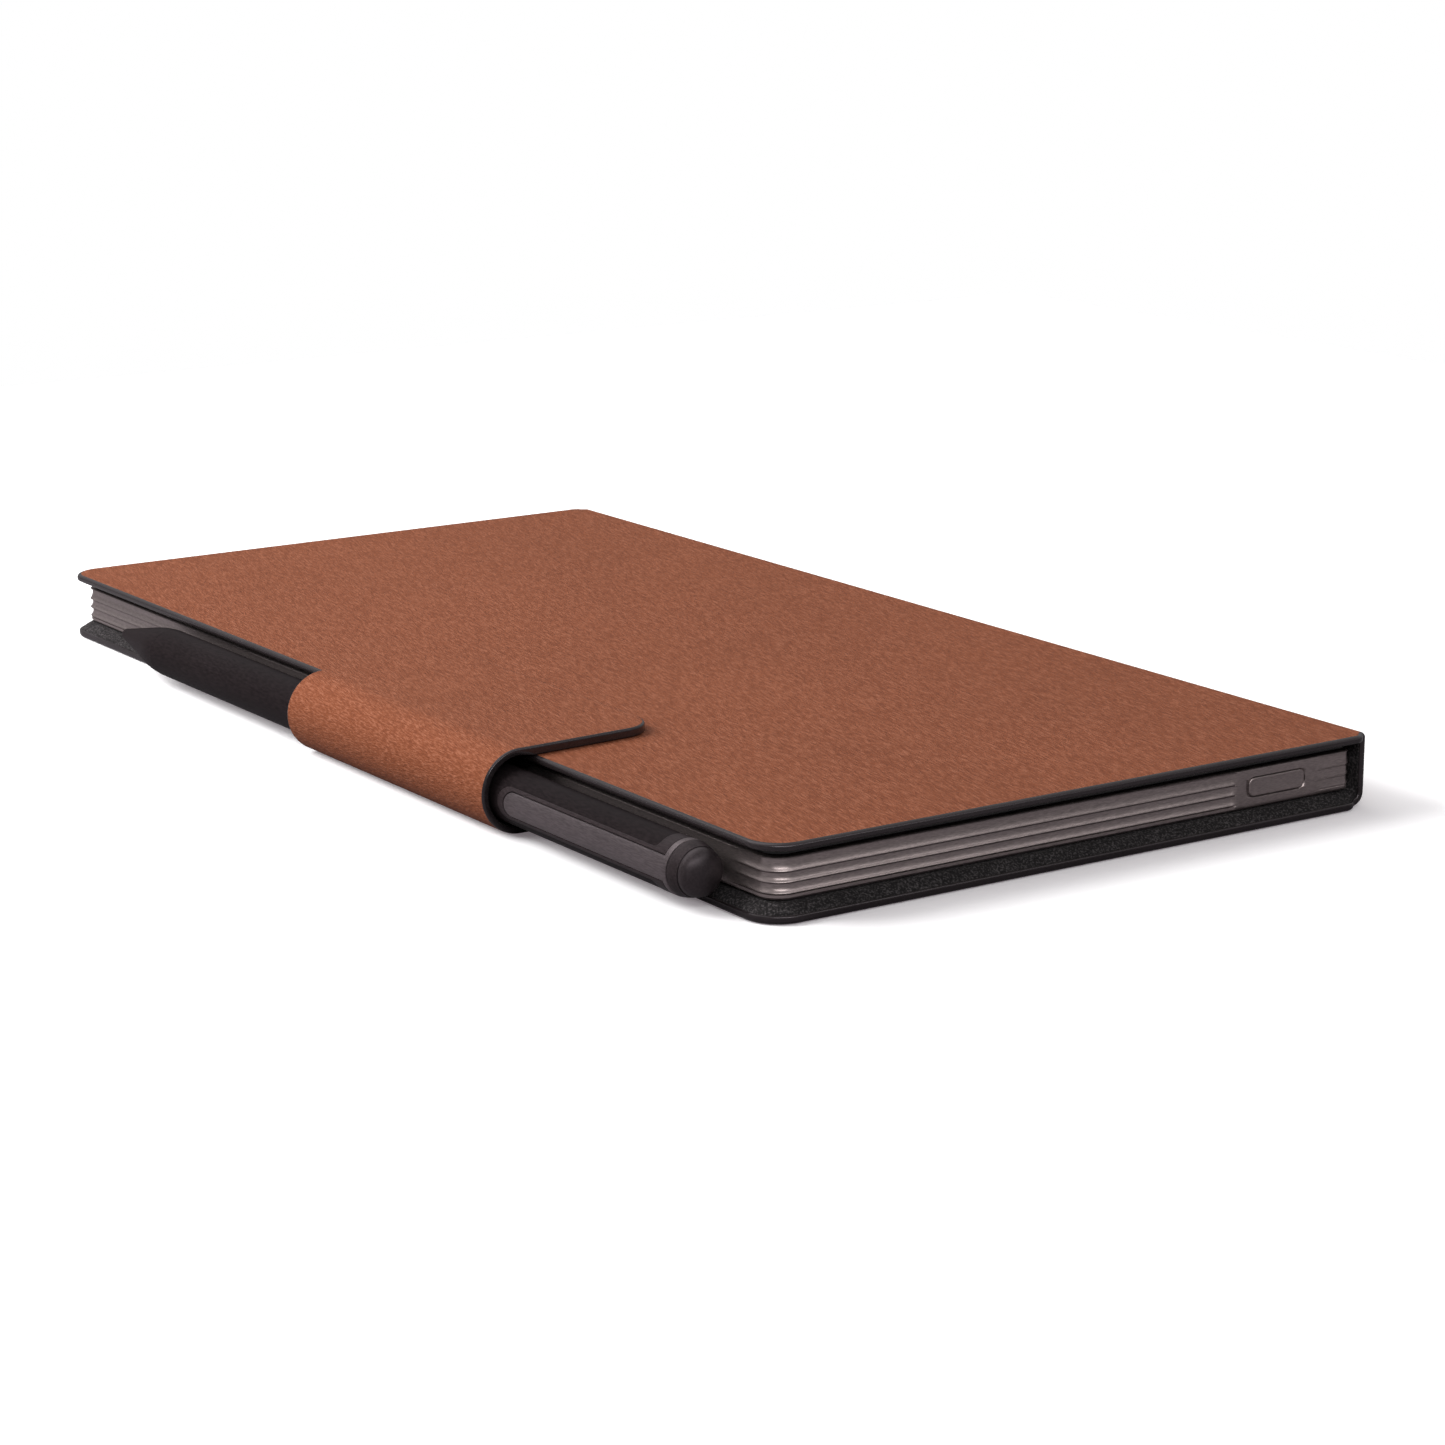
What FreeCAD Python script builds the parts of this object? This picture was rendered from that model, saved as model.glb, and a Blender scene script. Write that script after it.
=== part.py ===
import FreeCAD, Part
import math
import os
import re

import Sketcher

# E-reader in a leather folio with a pen. Millimetres, +Z up.
# Origin: centre of the back cover's underside. +X points to the fore-edge, where the
# pen lies, -X to the spine, +Y to the top end, where the power button is.

DIMENSIONS = {
    # folio
    "cover_w": 120.0, "cover_l": 240.0, "total_h": 12.4,
    "corner_r": 6.0, "spine_corner_r": 1.6, "leather_t": 0.6,
    "back_rim_z": 1.4, "back_pad_top": 2.8, "pad_slope": 2.2,
    "board_inset": 3.0, "board_r": 3.0, "board_spine_r": 1.0, "back_board_t": 0.8,
    "front_t": 1.2, "front_board_t": 0.4,
    "low_crease_r": 2.4, "top_crease_r": 0.9,
    "spine_t": 1.3, "spine_board_t": 0.4, "spine_lining_gap": 0.2,
    "cover_magnet_x": 48.0, "cover_magnet_w": 6.0, "cover_magnet_y": 90.0, "cover_magnet_l": 20.0,
    # strap
    "strap_y": 22.4, "strap_half": 32.9, "tab_end_half": 31.5, "tab_end_x": 35.5,
    "tab_corner_r": 6.0, "strap_lining_t": 0.5, "tab_lining_t": 0.9, "wrap_x": 62.5, "wrap_r": 7.0,
    "crease_gap": 1.2, "strap_magnet_l": 44.0, "strap_magnet_w": 8.0, "strap_magnet_t": 0.3,
    "strap_magnet_inset": 3.0, "keeper_margin": 0.9,
    # tablet shell
    "glue_t": 0.2, "glue_inset": 1.2, "inset": 2.3, "spine_gap": 2.5, "shell_h": 7.0,
    "shell_r": 3.9, "shell_spine_r": 1.6, "lip_depth": 0.35, "rim_depth": 0.15,
    "wall_t": 2.2, "ledge_w": 4.5, "ledge_low": 6.9, "ledge_high": 7.4,
    "plain_zone_x": -32.7, "plain_depth": 3.0, "faint_zone_x": -49.5,
    "rear_plate_t": 0.8, "clearance": 0.1, "boss_r": 2.2, "tapped_r": 0.75,
    "screw_r": 0.65, "screw_head_r": 1.35, "screw_hole_r": 1.5,
    # display
    "bezel_inset": 0.8, "bezel_rise": 0.8, "bezel_w": 1.8, "lens_recess": 0.15,
    "mid_plate_t": 0.5, "digitizer_t": 0.2, "panel_t": 0.8, "guide_t": 0.5, "lens_t": 0.7,
    "stack_inset": 2.8, "stack_gap": 0.05, "led_w": 1.2, "led_l": 100.0,
    "flex_w": 30.0, "flex_low_y": -105.6, "flex_high_y": -102.4,
    # inside the tablet
    "cell_w": 94.0, "cell_l": 76.0, "cell_gap": 4.0, "cell_middle": 6.0, "cell_r": 1.5,
    "cell_board_w": 40.0, "cell_board_l": 6.0, "cell_board_y": 89.0,
    "chip_z": 5.4, "chip_t": 0.8,
    "main_board_w": 92.0, "main_board_l": 35.0, "main_board_y": -92.5,
    "main_board_z": 5.6, "main_board_t": 0.7, "can_l": 22.0, "can_y": -89.0, "can_z": 4.2,
    "hall_x": 44.0, "hall_y": 95.0, "hall_w": 2.0,
    "mic_x": 31.75, "mic_y": 108.25, "mic_w": 3.5, "mic_l": 2.5,
    "speaker_w": 18.0, "speaker_l": 10.0, "speaker_y": 101.0, "speaker_z": 4.0,
    "inner_high": 6.6, "antenna_x": -47.0, "antenna_t": 1.0, "antenna_y": 98.0, "antenna_l": 20.0,
    "magnet_l": 18.0, "magnet_t": 1.8, "magnet_low": 4.1, "magnet_high": 6.7,
    # power button, mid-height on the top end
    "button_x": -41.1, "button_z": 6.55, "button_w": 11.9, "button_h": 3.15, "button_r": 1.1,
    "button_proud": 0.15, "button_t": 1.4, "button_travel": 0.35, "button_gap": 0.12,
    "stem_w": 4.0, "stem_low": 5.4, "stem_high": 6.6, "stem_l": 1.6,
    "switch_w": 5.2, "switch_low": 4.6, "switch_high": 6.75, "switch_l": 2.2,
    # socket in the bottom end
    "usb_z": 5.4, "usb_w": 8.94, "usb_h": 3.2, "usb_wall": 0.3, "usb_depth": 7.3,
    "usb_tongue_w": 6.6, "usb_tongue_t": 0.7, "usb_back_t": 1.0, "usb_tongue_gap": 0.8,
    # pen
    "pen_x": 63.3, "pen_z": 6.3, "pen_r": 4.45, "pen_roll": -5.3, "sleeve_t": 0.5,
    "pen_tip_y": -86.5, "pen_full_y": -67.5, "pen_nose_r": 1.1, "sleeve_end_y": 103.1,
    "collar_end_y": 104.7, "cap_end_y": 107.0, "cap_end_r": 3.95, "dome_r": 3.8, "dome_h": 2.1,
    "tongue_y": 58.6, "tongue_half": 1.95, "bore_r": 3.0, "nose_bulge_r": 200.0,
    "nib_r": 0.6, "nib_l": 23.4, "nib_proud": 1.4, "nib_bore_r": 0.75,
    "ferrite_r": 1.5, "ferrite_at": 7.5, "ferrite_l": 11.5,
    "coil_r": 2.1, "coil_at": 9.0, "coil_l": 8.5, "sensor_r": 2.4, "sensor_at": 22.4, "sensor_l": 4.6,
    "pen_board_w": 4.0, "pen_board_t": 0.8, "pen_board_low": -55.0, "pen_board_high": 35.0,
    "pen_magnet_w": 4.0, "pen_magnet_t": 3.2, "pen_magnet_low": 44.0, "pen_magnet_high": 88.0,
    "end_button_l": 9.0, "end_stem_r": 0.9, "end_piston_l": 3.0, "end_button_gap": 0.35,
    "spring_r": 1.6, "spring_wire_r": 0.2, "spring_l": 4.2, "spring_gap": 0.3,
}

SPRING_TURNS = 5
SCREW_ROWS = (-112.2, -60.0, 60.0, 112.2)
SCREW_COLUMNS = (-51.6, 52.2)
SCREW_PLACES = [(str(across), str(along)) for across in SCREW_COLUMNS for along in SCREW_ROWS]
CAN_SPANS = (("-44", "-22"), ("-16", "10"), ("16", "40"))
SPEAKER_CENTRES = ("-33", "9")
PEN_MAGNET_CENTRES = ("-38", "0", "38")
CLOSURE_MAGNET_CENTRES = ("-86", "86")
SMALL_RADII = ("0.3", "0.3")
TINY_RADII = ("0.05", "0.05")

doc = FreeCAD.newDocument("EReader")
sheet = doc.addObject("Spreadsheet::Sheet", "Dims")
for row, (alias, size) in enumerate(DIMENSIONS.items(), start=1):
    sheet.set("A%d" % row, alias)
    sheet.set("B%d" % row, str(size))
    sheet.setAlias("B%d" % row, alias)
doc.recompute()

parts = []


# ---------------------------------------------------------------- helpers

def bound(expression):
    """Point every dimension's name in an expression at the sheet."""
    def prefix(match):
        word = match.group(0)
        return "Dims." + word if word in DIMENSIONS else word
    return re.sub(r"[a-z_]\w*", prefix, str(expression))


def number(expression):
    """The expression's value with the sheet's present sizes."""
    return float(sheet.evalExpression(bound(expression)))


# plane, first and second sketch axes' meaning, and the sign of the plane's normal
PLANES = {"z": ("XY_Plane", 1), "y": ("XZ_Plane", -1), "x": ("YZ_Plane", 1)}


def new_body(label):
    body = doc.addObject("PartDesign::Body", label)
    body.Label = label
    parts.append(body)
    return body


def new_sketch(body, along, level):
    """A sketch across the axis `along`, at the coordinate `level` on it."""
    role, sign = PLANES[along]
    plane = [item for item in body.Origin.OriginFeatures if item.Role == role][0]
    sketch = body.newObject("Sketcher::SketchObject", body.Label + "_sketch")
    sketch.AttachmentSupport = [(plane, "")]
    sketch.MapMode = "FlatFace"
    offset = level if sign > 0 else "-(%s)" % level
    sketch.setExpression("AttachmentOffset.Base.z", bound(offset))
    return sketch


def drive(sketch, kind, references, expression):
    """A driving constraint whose value is bound to the sheet."""
    index = sketch.addConstraint(Sketcher.Constraint(kind, *references, number(expression)))
    name = "c%d" % index
    sketch.renameConstraint(index, name)
    sketch.setExpression("Constraints." + name, bound(expression))


def place_point(sketch, geometry, point, across, up):
    """Hold one sketch point at two bound coordinates."""
    for kind, axis, expression in (("DistanceX", -2, across), ("DistanceY", -1, up)):
        size = number(expression)
        if abs(size) < 1e-9:
            sketch.addConstraint(Sketcher.Constraint("PointOnObject", geometry, point, axis))
        elif size > 0:
            drive(sketch, kind, (-1, 1, geometry, point), expression)
        else:
            drive(sketch, kind, (geometry, point, -1, 1), "-(%s)" % expression)


def hold_side(sketch, kind, geometry, expression):
    if number(expression) > 0:
        drive(sketch, kind, (-1, 1, geometry, 1), expression)
    else:
        drive(sketch, kind, (geometry, 1, -1, 1), "-(%s)" % expression)


def draw_rounded(sketch, u, v, radii):
    """Rounded rectangle. radii = (radius at the high-u corners, radius at the low-u corners)."""
    u0, u1, v0, v1 = number(u[0]), number(u[1]), number(v[0]), number(v[1])
    high, low = number(radii[0]), number(radii[1])
    start = sketch.GeometryCount
    vector = FreeCAD.Vector
    lines = (
        (vector(u0 + low, v0, 0), vector(u1 - high, v0, 0)),
        (vector(u1, v0 + high, 0), vector(u1, v1 - high, 0)),
        (vector(u1 - high, v1, 0), vector(u0 + low, v1, 0)),
        (vector(u0, v1 - low, 0), vector(u0, v0 + low, 0)))
    centres = (
        (u1 - high, v0 + high, high), (u1 - high, v1 - high, high),
        (u0 + low, v1 - low, low), (u0 + low, v0 + low, low))
    for first, last in lines:
        sketch.addGeometry(Part.LineSegment(first, last), False)
    for quarter, (centre_u, centre_v, radius) in enumerate(centres):
        circle = Part.Circle(vector(centre_u, centre_v, 0), vector(0, 0, 1), radius)
        turn = (quarter - 1) * math.pi / 2
        sketch.addGeometry(Part.ArcOfCircle(circle, turn, turn + math.pi / 2), False)
    for side in range(4):
        arc = start + 4 + side
        sketch.addConstraint(Sketcher.Constraint("Tangent", start + side, 2, arc, 1))
        sketch.addConstraint(Sketcher.Constraint("Tangent", arc, 2, start + (side + 1) % 4, 1))
    for side in (0, 2):
        sketch.addConstraint(Sketcher.Constraint("Horizontal", start + side))
        sketch.addConstraint(Sketcher.Constraint("Vertical", start + side + 1))
    hold_side(sketch, "DistanceY", start, v[0])
    hold_side(sketch, "DistanceX", start + 1, u[1])
    hold_side(sketch, "DistanceY", start + 2, v[1])
    hold_side(sketch, "DistanceX", start + 3, u[0])
    for corner, radius in enumerate((radii[0], radii[0], radii[1], radii[1])):
        drive(sketch, "Radius", (start + 4 + corner,), radius)


def draw_outline(sketch, points, arcs=None):
    """Closed outline through bound points. arcs = {edge number: signed radius expression};
    a positive radius bows to the right of the way the outline runs."""
    arcs = arcs or {}
    places = [FreeCAD.Vector(number(a), number(b), 0) for a, b in points]
    count = len(points)
    ends = []
    for index in range(count):
        first, last = places[index], places[(index + 1) % count]
        if index in arcs:
            radius = number(arcs[index])
            middle = (first + last) * 0.5
            chord = last - first
            side = FreeCAD.Vector(chord.y, -chord.x, 0).normalize()
            half = chord.Length / 2
            reach = math.sqrt(max(radius * radius - half * half, 0.0))
            bow = side * math.copysign(abs(radius) - reach, radius)
            edge = Part.Arc(first, middle + bow, last)
            drawn = sketch.addGeometry(edge, False)
            ends.append((drawn, 1, 2) if radius > 0 else (drawn, 2, 1))
        else:
            drawn = sketch.addGeometry(Part.LineSegment(first, last), False)
            ends.append((drawn, 1, 2))
    for index, (drawn, begin, end) in enumerate(ends):
        following, next_begin, _ = ends[(index + 1) % count]
        sketch.addConstraint(
            Sketcher.Constraint("Coincident", drawn, end, following, next_begin))
        place_point(sketch, drawn, begin, *points[index])
        if index in arcs:
            drive(sketch, "Radius", (drawn,), "abs(%s)" % arcs[index])


def extrude(body, kind, along, sketch, span):
    """Pad from the sketch, or Pocket, over the span (low, high) along its axis."""
    feature = body.newObject("PartDesign::" + kind, body.Label + "_" + kind.lower())
    feature.Profile = sketch
    feature.setExpression("Length", bound("%s - (%s)" % (span[1], span[0])))
    return feature


def sketch_level(kind, along, span):
    """Pads run along the plane's normal and pockets against it."""
    sign = PLANES[along][1]
    towards_high = (kind == "Pad") == (sign > 0)
    return span[0] if towards_high else span[1]


def block(body, kind, along, u, v, span, radii=SMALL_RADII):
    sketch = new_sketch(body, along, sketch_level(kind, along, span))
    draw_rounded(sketch, u, v, radii)
    return extrude(body, kind, along, sketch, span)


def discs(body, kind, along, centres, radius, span):
    sketch = new_sketch(body, along, sketch_level(kind, along, span))
    for across, up in centres:
        place = FreeCAD.Vector(number(across), number(up), 0)
        circle = sketch.addGeometry(
            Part.Circle(place, FreeCAD.Vector(0, 0, 1), number(radius)), False)
        place_point(sketch, circle, 3, across, up)
        drive(sketch, "Radius", (circle,), radius)
    return extrude(body, kind, along, sketch, span)


def prism(body, kind, along, points, span, arcs=None):
    sketch = new_sketch(body, along, sketch_level(kind, along, span))
    draw_outline(sketch, points, arcs)
    return extrude(body, kind, along, sketch, span)


def loft(body, lower, upper):
    """Ruled loft between two rounded rectangles, each (level, u, v, radii)."""
    sketches = []
    for level, u, v, radii in (lower, upper):
        sketch = new_sketch(body, "z", level)
        draw_rounded(sketch, u, v, radii)
        sketches.append(sketch)
    feature = body.newObject("PartDesign::AdditiveLoft", body.Label + "_loft")
    feature.Profile = sketches[0]
    feature.Sections = [sketches[1]]
    feature.Ruled = True
    return feature


def turned(label, points, arcs=None, at_pen=True):
    """A part turned about its own Y axis; points are (radius, place along the axis)."""
    body = new_body(label)
    sketch = new_sketch(body, "z", "0")
    draw_outline(sketch, points, arcs)
    feature = body.newObject("PartDesign::Revolution", label + "_turned")
    feature.Profile = sketch
    feature.ReferenceAxis = (sketch, ["V_Axis"])
    feature.Angle = 360.0
    if at_pen:
        place_on_pen(body)
    return body


def place_on_pen(body):
    """Put a part that was drawn round the Y axis on the pen's own axis, rolled with the pen."""
    roll = FreeCAD.Rotation(FreeCAD.Vector(0, 1, 0), number("pen_roll"))
    body.Placement = FreeCAD.Placement(FreeCAD.Vector(0, 0, 0), roll)
    body.setExpression("Placement.Base.x", bound("pen_x"))
    body.setExpression("Placement.Base.z", bound("pen_z"))
    body.setExpression("Placement.Rotation.Angle", bound("pen_roll*1deg"))


def plate(label, x, y, z, radii=SMALL_RADII):
    body = new_body(label)
    block(body, "Pad", "z", x, y, z, radii)
    return body


def centred(middle, length):
    return "%s - (%s)/2" % (middle, length), "%s + (%s)/2" % (middle, length)


def inset_outline(gap):
    """The tablet's outline, drawn in by `gap` all round."""
    across = ("-cover_w/2 + spine_gap + %s" % gap, "cover_w/2 - inset - (%s)" % gap)
    along = ("-(cover_l/2 - inset - (%s))" % gap, "cover_l/2 - inset - (%s)" % gap)
    return across, along


# heights that several parts share
SHELL_LOW = "(back_pad_top + glue_t)"
SHELL_TOP = "(back_pad_top + glue_t + shell_h)"
FRONT_LOW = "(total_h - front_t)"
PLATE_RADII = ("1.6", "0.9")
STACK_RADII = ("1", "0.8")
WELL_RADII = ("1.7", "1")
WRAP_TOP = "(2*wrap_r)"
TAB_LOW = "(2*wrap_r - leather_t - tab_lining_t)"
TOP_END = "(cover_l/2 - inset)"
SPINE_Y = ("-cover_l/2 + spine_corner_r", "cover_l/2 - spine_corner_r")
REAR_PLATE_TOP = "(back_pad_top + glue_t + rear_plate_t)"


# ---------------------------------------------------------------- folio

def cover_outline(x_low):
    return (x_low, "cover_w/2"), ("-cover_l/2", "cover_l/2")


def back_cover():
    x, y = cover_outline("-cover_w/2 + low_crease_r")
    corners = ("corner_r", "spine_corner_r")
    plate("back_cover_leather", x, y, ("0", "leather_t"), corners)

    pad = new_body("back_cover_pad")
    block(pad, "Pad", "z", x, y, ("leather_t", "back_rim_z"), corners)
    slope_x = ("-cover_w/2 + low_crease_r + 0.2", "cover_w/2 - pad_slope")
    slope_y = ("-cover_l/2 + pad_slope", "cover_l/2 - pad_slope")
    loft(pad, ("back_rim_z", x, y, corners),
         ("back_pad_top", slope_x, slope_y, ("corner_r - pad_slope", "spine_corner_r - 0.2")))
    board_x = ("-cover_w/2 + low_crease_r + board_inset", "cover_w/2 - board_inset")
    board_y = ("-cover_l/2 + board_inset", "cover_l/2 - board_inset")
    board_z = ("leather_t", "leather_t + back_board_t")
    board_corners = ("board_r", "board_spine_r")
    block(pad, "Pocket", "z", board_x, board_y, board_z, board_corners)
    plate("back_cover_board", board_x, board_y, board_z, board_corners)


def front_cover():
    x, y = cover_outline("-cover_w/2 + top_crease_r")
    corners = ("corner_r", "spine_corner_r")
    leather_z = ("total_h - leather_t", "total_h")
    plate("front_cover_leather", x, y, leather_z, corners)

    lining = new_body("front_cover_lining")
    block(lining, "Pad", "z", x, y, (FRONT_LOW, "total_h - leather_t"), corners)
    board_x = ("-cover_w/2 + top_crease_r + board_inset", "cover_w/2 - board_inset")
    board_y = ("-cover_l/2 + board_inset", "cover_l/2 - board_inset")
    board_z = ("total_h - leather_t - front_board_t", "total_h - leather_t")
    board_corners = ("board_r", "board_spine_r")
    block(lining, "Pocket", "z", board_x, board_y, board_z, board_corners)
    board = plate("front_cover_board", board_x, board_y, board_z, board_corners)

    keeper_middle = "tab_end_x + strap_magnet_inset + strap_magnet_w/2"
    keeper_size = ("strap_magnet_w + keeper_margin", "strap_magnet_l + 2*keeper_margin")
    set_in(board, keeper_middle, "strap_y", keeper_size, board_z)
    plate("strap_keeper", centred(keeper_middle, keeper_size[0]),
          centred("strap_y", keeper_size[1]), board_z)

    magnets = new_body("cover_magnets")
    magnet_size = ("cover_magnet_w", "cover_magnet_l")
    for middle in ("-cover_magnet_y", "cover_magnet_y"):
        set_in(board, "cover_magnet_x", middle, magnet_size, board_z)
        block(magnets, "Pad", "z", centred("cover_magnet_x", magnet_size[0]),
              centred(middle, magnet_size[1]), board_z)


def set_in(board, middle_x, middle_y, size, board_z):
    """Cut the hole that a plate is let into."""
    block(board, "Pocket", "z", centred(middle_x, size[0] + " + 2*clearance"),
          centred(middle_y, size[1] + " + 2*clearance"), board_z)


def spine():
    z = ("low_crease_r", "total_h - top_crease_r")
    leather = new_body("spine_leather")
    leather_x = ("-cover_w/2", "-cover_w/2 + leather_t")
    block(leather, "Pad", "x", SPINE_Y, z, leather_x, TINY_RADII)

    lining_z = ("low_crease_r", "total_h - front_t - spine_lining_gap")
    lining_x = ("-cover_w/2 + leather_t", "-cover_w/2 + spine_t")
    board_y = ("-cover_l/2 + board_inset", "cover_l/2 - board_inset")
    board_z = ("low_crease_r + 0.8", "total_h - front_t - 1.2")
    board_x = ("-cover_w/2 + leather_t", "-cover_w/2 + leather_t + spine_board_t")
    lining = new_body("spine_lining")
    block(lining, "Pad", "x", SPINE_Y, lining_z, lining_x)
    slot = new_sketch(lining, "x", board_x[1])
    draw_rounded(slot, board_y, board_z, SMALL_RADII)
    extrude(lining, "Pocket", "x", slot, board_x)
    board = new_body("spine_board")
    block(board, "Pad", "x", board_y, board_z, board_x)


def crease(label, x_panel, z_panel, x_spine, z_spine, bend, flip):
    """Quarter-round leather bend between a cover and the spine. flip is 1 for the lower
    crease, which turns up, and -1 for the upper one, which turns down."""
    inner = "(%s - leather_t)" % bend
    outside = (x_panel, z_panel), (x_spine, z_spine)
    inside = (("%s + leather_t" % x_spine, z_spine),
              (x_panel, "%s %s leather_t" % (z_panel, "+" if flip > 0 else "-")))
    points = outside + inside
    arcs = {0: "-(%s)" % bend if flip > 0 else bend, 2: inner if flip > 0 else "-" + inner}
    body = new_body(label)
    prism(body, "Pad", "y", points, SPINE_Y, arcs)


def creases():
    crease("crease_lower", "-cover_w/2 + low_crease_r", "0", "-cover_w/2", "low_crease_r",
           "low_crease_r", 1)
    crease("crease_upper", "-cover_w/2 + top_crease_r", "total_h", "-cover_w/2",
           "total_h - top_crease_r", "top_crease_r", -1)


def strap():
    y = ("strap_y - strap_half", "strap_y + strap_half")
    layers = (("strap_wrap_leather", "0", "leather_t", "cover_w/2"),
              ("strap_wrap_lining", "leather_t", "(leather_t + strap_lining_t)",
               "cover_w/2 + 0.2"))
    for label, outer, inner, x_low in layers:
        outer_r = "(wrap_r - %s)" % outer
        inner_r = "(wrap_r - %s)" % inner
        body = new_body(label)
        points = ((x_low, outer), ("wrap_x", outer),
                  ("wrap_x + %s" % outer_r, "wrap_r"), ("wrap_x", "wrap_r + %s" % outer_r),
                  ("wrap_x", "wrap_r + %s" % inner_r),
                  ("wrap_x + %s" % inner_r, "wrap_r"), ("wrap_x", inner), (x_low, inner))
        prism(body, "Pad", "y", points, y, {1: outer_r, 2: outer_r,
                                            4: "-" + inner_r, 5: "-" + inner_r})

    tab_high_x = "wrap_x - crease_gap"
    tab = ((tab_high_x, "strap_y - strap_half"), (tab_high_x, "strap_y + strap_half"),
           ("tab_end_x", "strap_y + tab_end_half"), ("tab_end_x", "strap_y - tab_end_half"))
    lining_z = (TAB_LOW, WRAP_TOP + " - leather_t")
    for label, z in (("strap_tab_leather", (WRAP_TOP + " - leather_t", WRAP_TOP)),
                     ("strap_tab_lining", lining_z)):
        body = new_body(label)
        prism(body, "Pad", "z", tab, z)
        doc.recompute()
        corners = [index + 1 for index, edge in enumerate(body.Tip.Shape.Edges)
                   if edge.BoundBox.ZLength > 0.1
                   and abs(edge.BoundBox.XMin - number("tab_end_x")) < 0.01]
        rounding = body.newObject("PartDesign::Fillet", label + "_corners")
        rounding.Base = (body.Tip if body.Tip != rounding else rounding.BaseFeature,
                         ["Edge%d" % index for index in corners])
        rounding.setExpression("Radius", bound("tab_corner_r"))
        if label == "strap_tab_lining":
            lining = body
    magnet_x = ("tab_end_x + strap_magnet_inset",
                "tab_end_x + strap_magnet_inset + strap_magnet_w")
    magnet_y = centred("strap_y", "strap_magnet_l")
    magnet_z = (lining_z[1] + " - strap_magnet_t", lining_z[1])
    block(lining, "Pocket", "z", magnet_x, magnet_y, magnet_z)
    plate("strap_magnet", magnet_x, magnet_y, magnet_z)
    plate("strap_crease", (tab_high_x, "wrap_x"), y, (TAB_LOW, WRAP_TOP), TINY_RADII)


# ---------------------------------------------------------------- tablet

def mounting_sheet():
    x, y = inset_outline("glue_inset")
    plate("mounting_sheet", x, y, ("back_pad_top", SHELL_LOW),
          ("shell_r - glue_inset", "shell_spine_r - glue_inset"))


def chassis():
    """Metal frame. Its side is four flared bands, like a block of pages; the bands stop
    beside the power button."""
    body = new_body("chassis")
    outline = inset_outline("0")
    band_tops = ("0.15", "0.39", "0.63", "1")
    low = "0"
    for share in band_tops:
        break_in = "rim_depth" if share == "1" else "lip_depth"
        upper = inset_outline(break_in)
        loft(body,
             ("%s + shell_h*%s" % (SHELL_LOW, low), outline[0], outline[1],
              ("shell_r", "shell_spine_r")),
             ("%s + shell_h*%s" % (SHELL_LOW, share), upper[0], upper[1],
              ("shell_r - " + break_in, "shell_spine_r - " + break_in)))
        low = share
    block(body, "Pad", "z", ("faint_zone_x", "plain_zone_x"),
          ("%s - plain_depth" % TOP_END, TOP_END), (SHELL_LOW, SHELL_TOP))

    wide_x, wide_y = inset_outline("wall_t")
    narrow_x, narrow_y = inset_outline("ledge_w")
    block(body, "Pocket", "z", wide_x, wide_y, ("ledge_high", SHELL_TOP), WELL_RADII)
    block(body, "Pocket", "z", narrow_x, narrow_y, (SHELL_LOW, SHELL_TOP), WELL_RADII)
    block(body, "Pocket", "z", wide_x, wide_y, (SHELL_LOW, "ledge_low"), WELL_RADII)

    boss_low = REAR_PLATE_TOP + " + clearance"
    discs(body, "Pad", "z", SCREW_PLACES, "boss_r", (boss_low, "ledge_low + 0.2"))
    discs(body, "Pocket", "z", SCREW_PLACES, "tapped_r", (boss_low, "ledge_low"))

    half_w = "(button_w/2 + button_gap)"
    half_h = "(button_h/2 + button_gap)"
    slot_x = ("button_x - " + half_w, "button_x + " + half_w)
    slot_z = ("button_z - " + half_h, "button_z + " + half_h)
    slot_y = ("%s - button_t - button_travel - clearance" % TOP_END, TOP_END)
    slot_radii = ("button_r + button_gap",) * 2
    block(body, "Pocket", "y", slot_x, slot_z, slot_y, slot_radii)
    block(body, "Pocket", "y", centred("button_x", "stem_w + 2*button_gap"),
          ("stem_low - button_gap", "stem_high + button_gap"),
          ("%s - wall_t - clearance" % TOP_END, TOP_END))

    block(body, "Pocket", "y", centred("0", "usb_w + 2*clearance"),
          centred("usb_z", "usb_h + 2*clearance"),
          ("-" + TOP_END, "-%s + ledge_w + clearance" % TOP_END), ("usb_h/2",) * 2)


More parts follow.
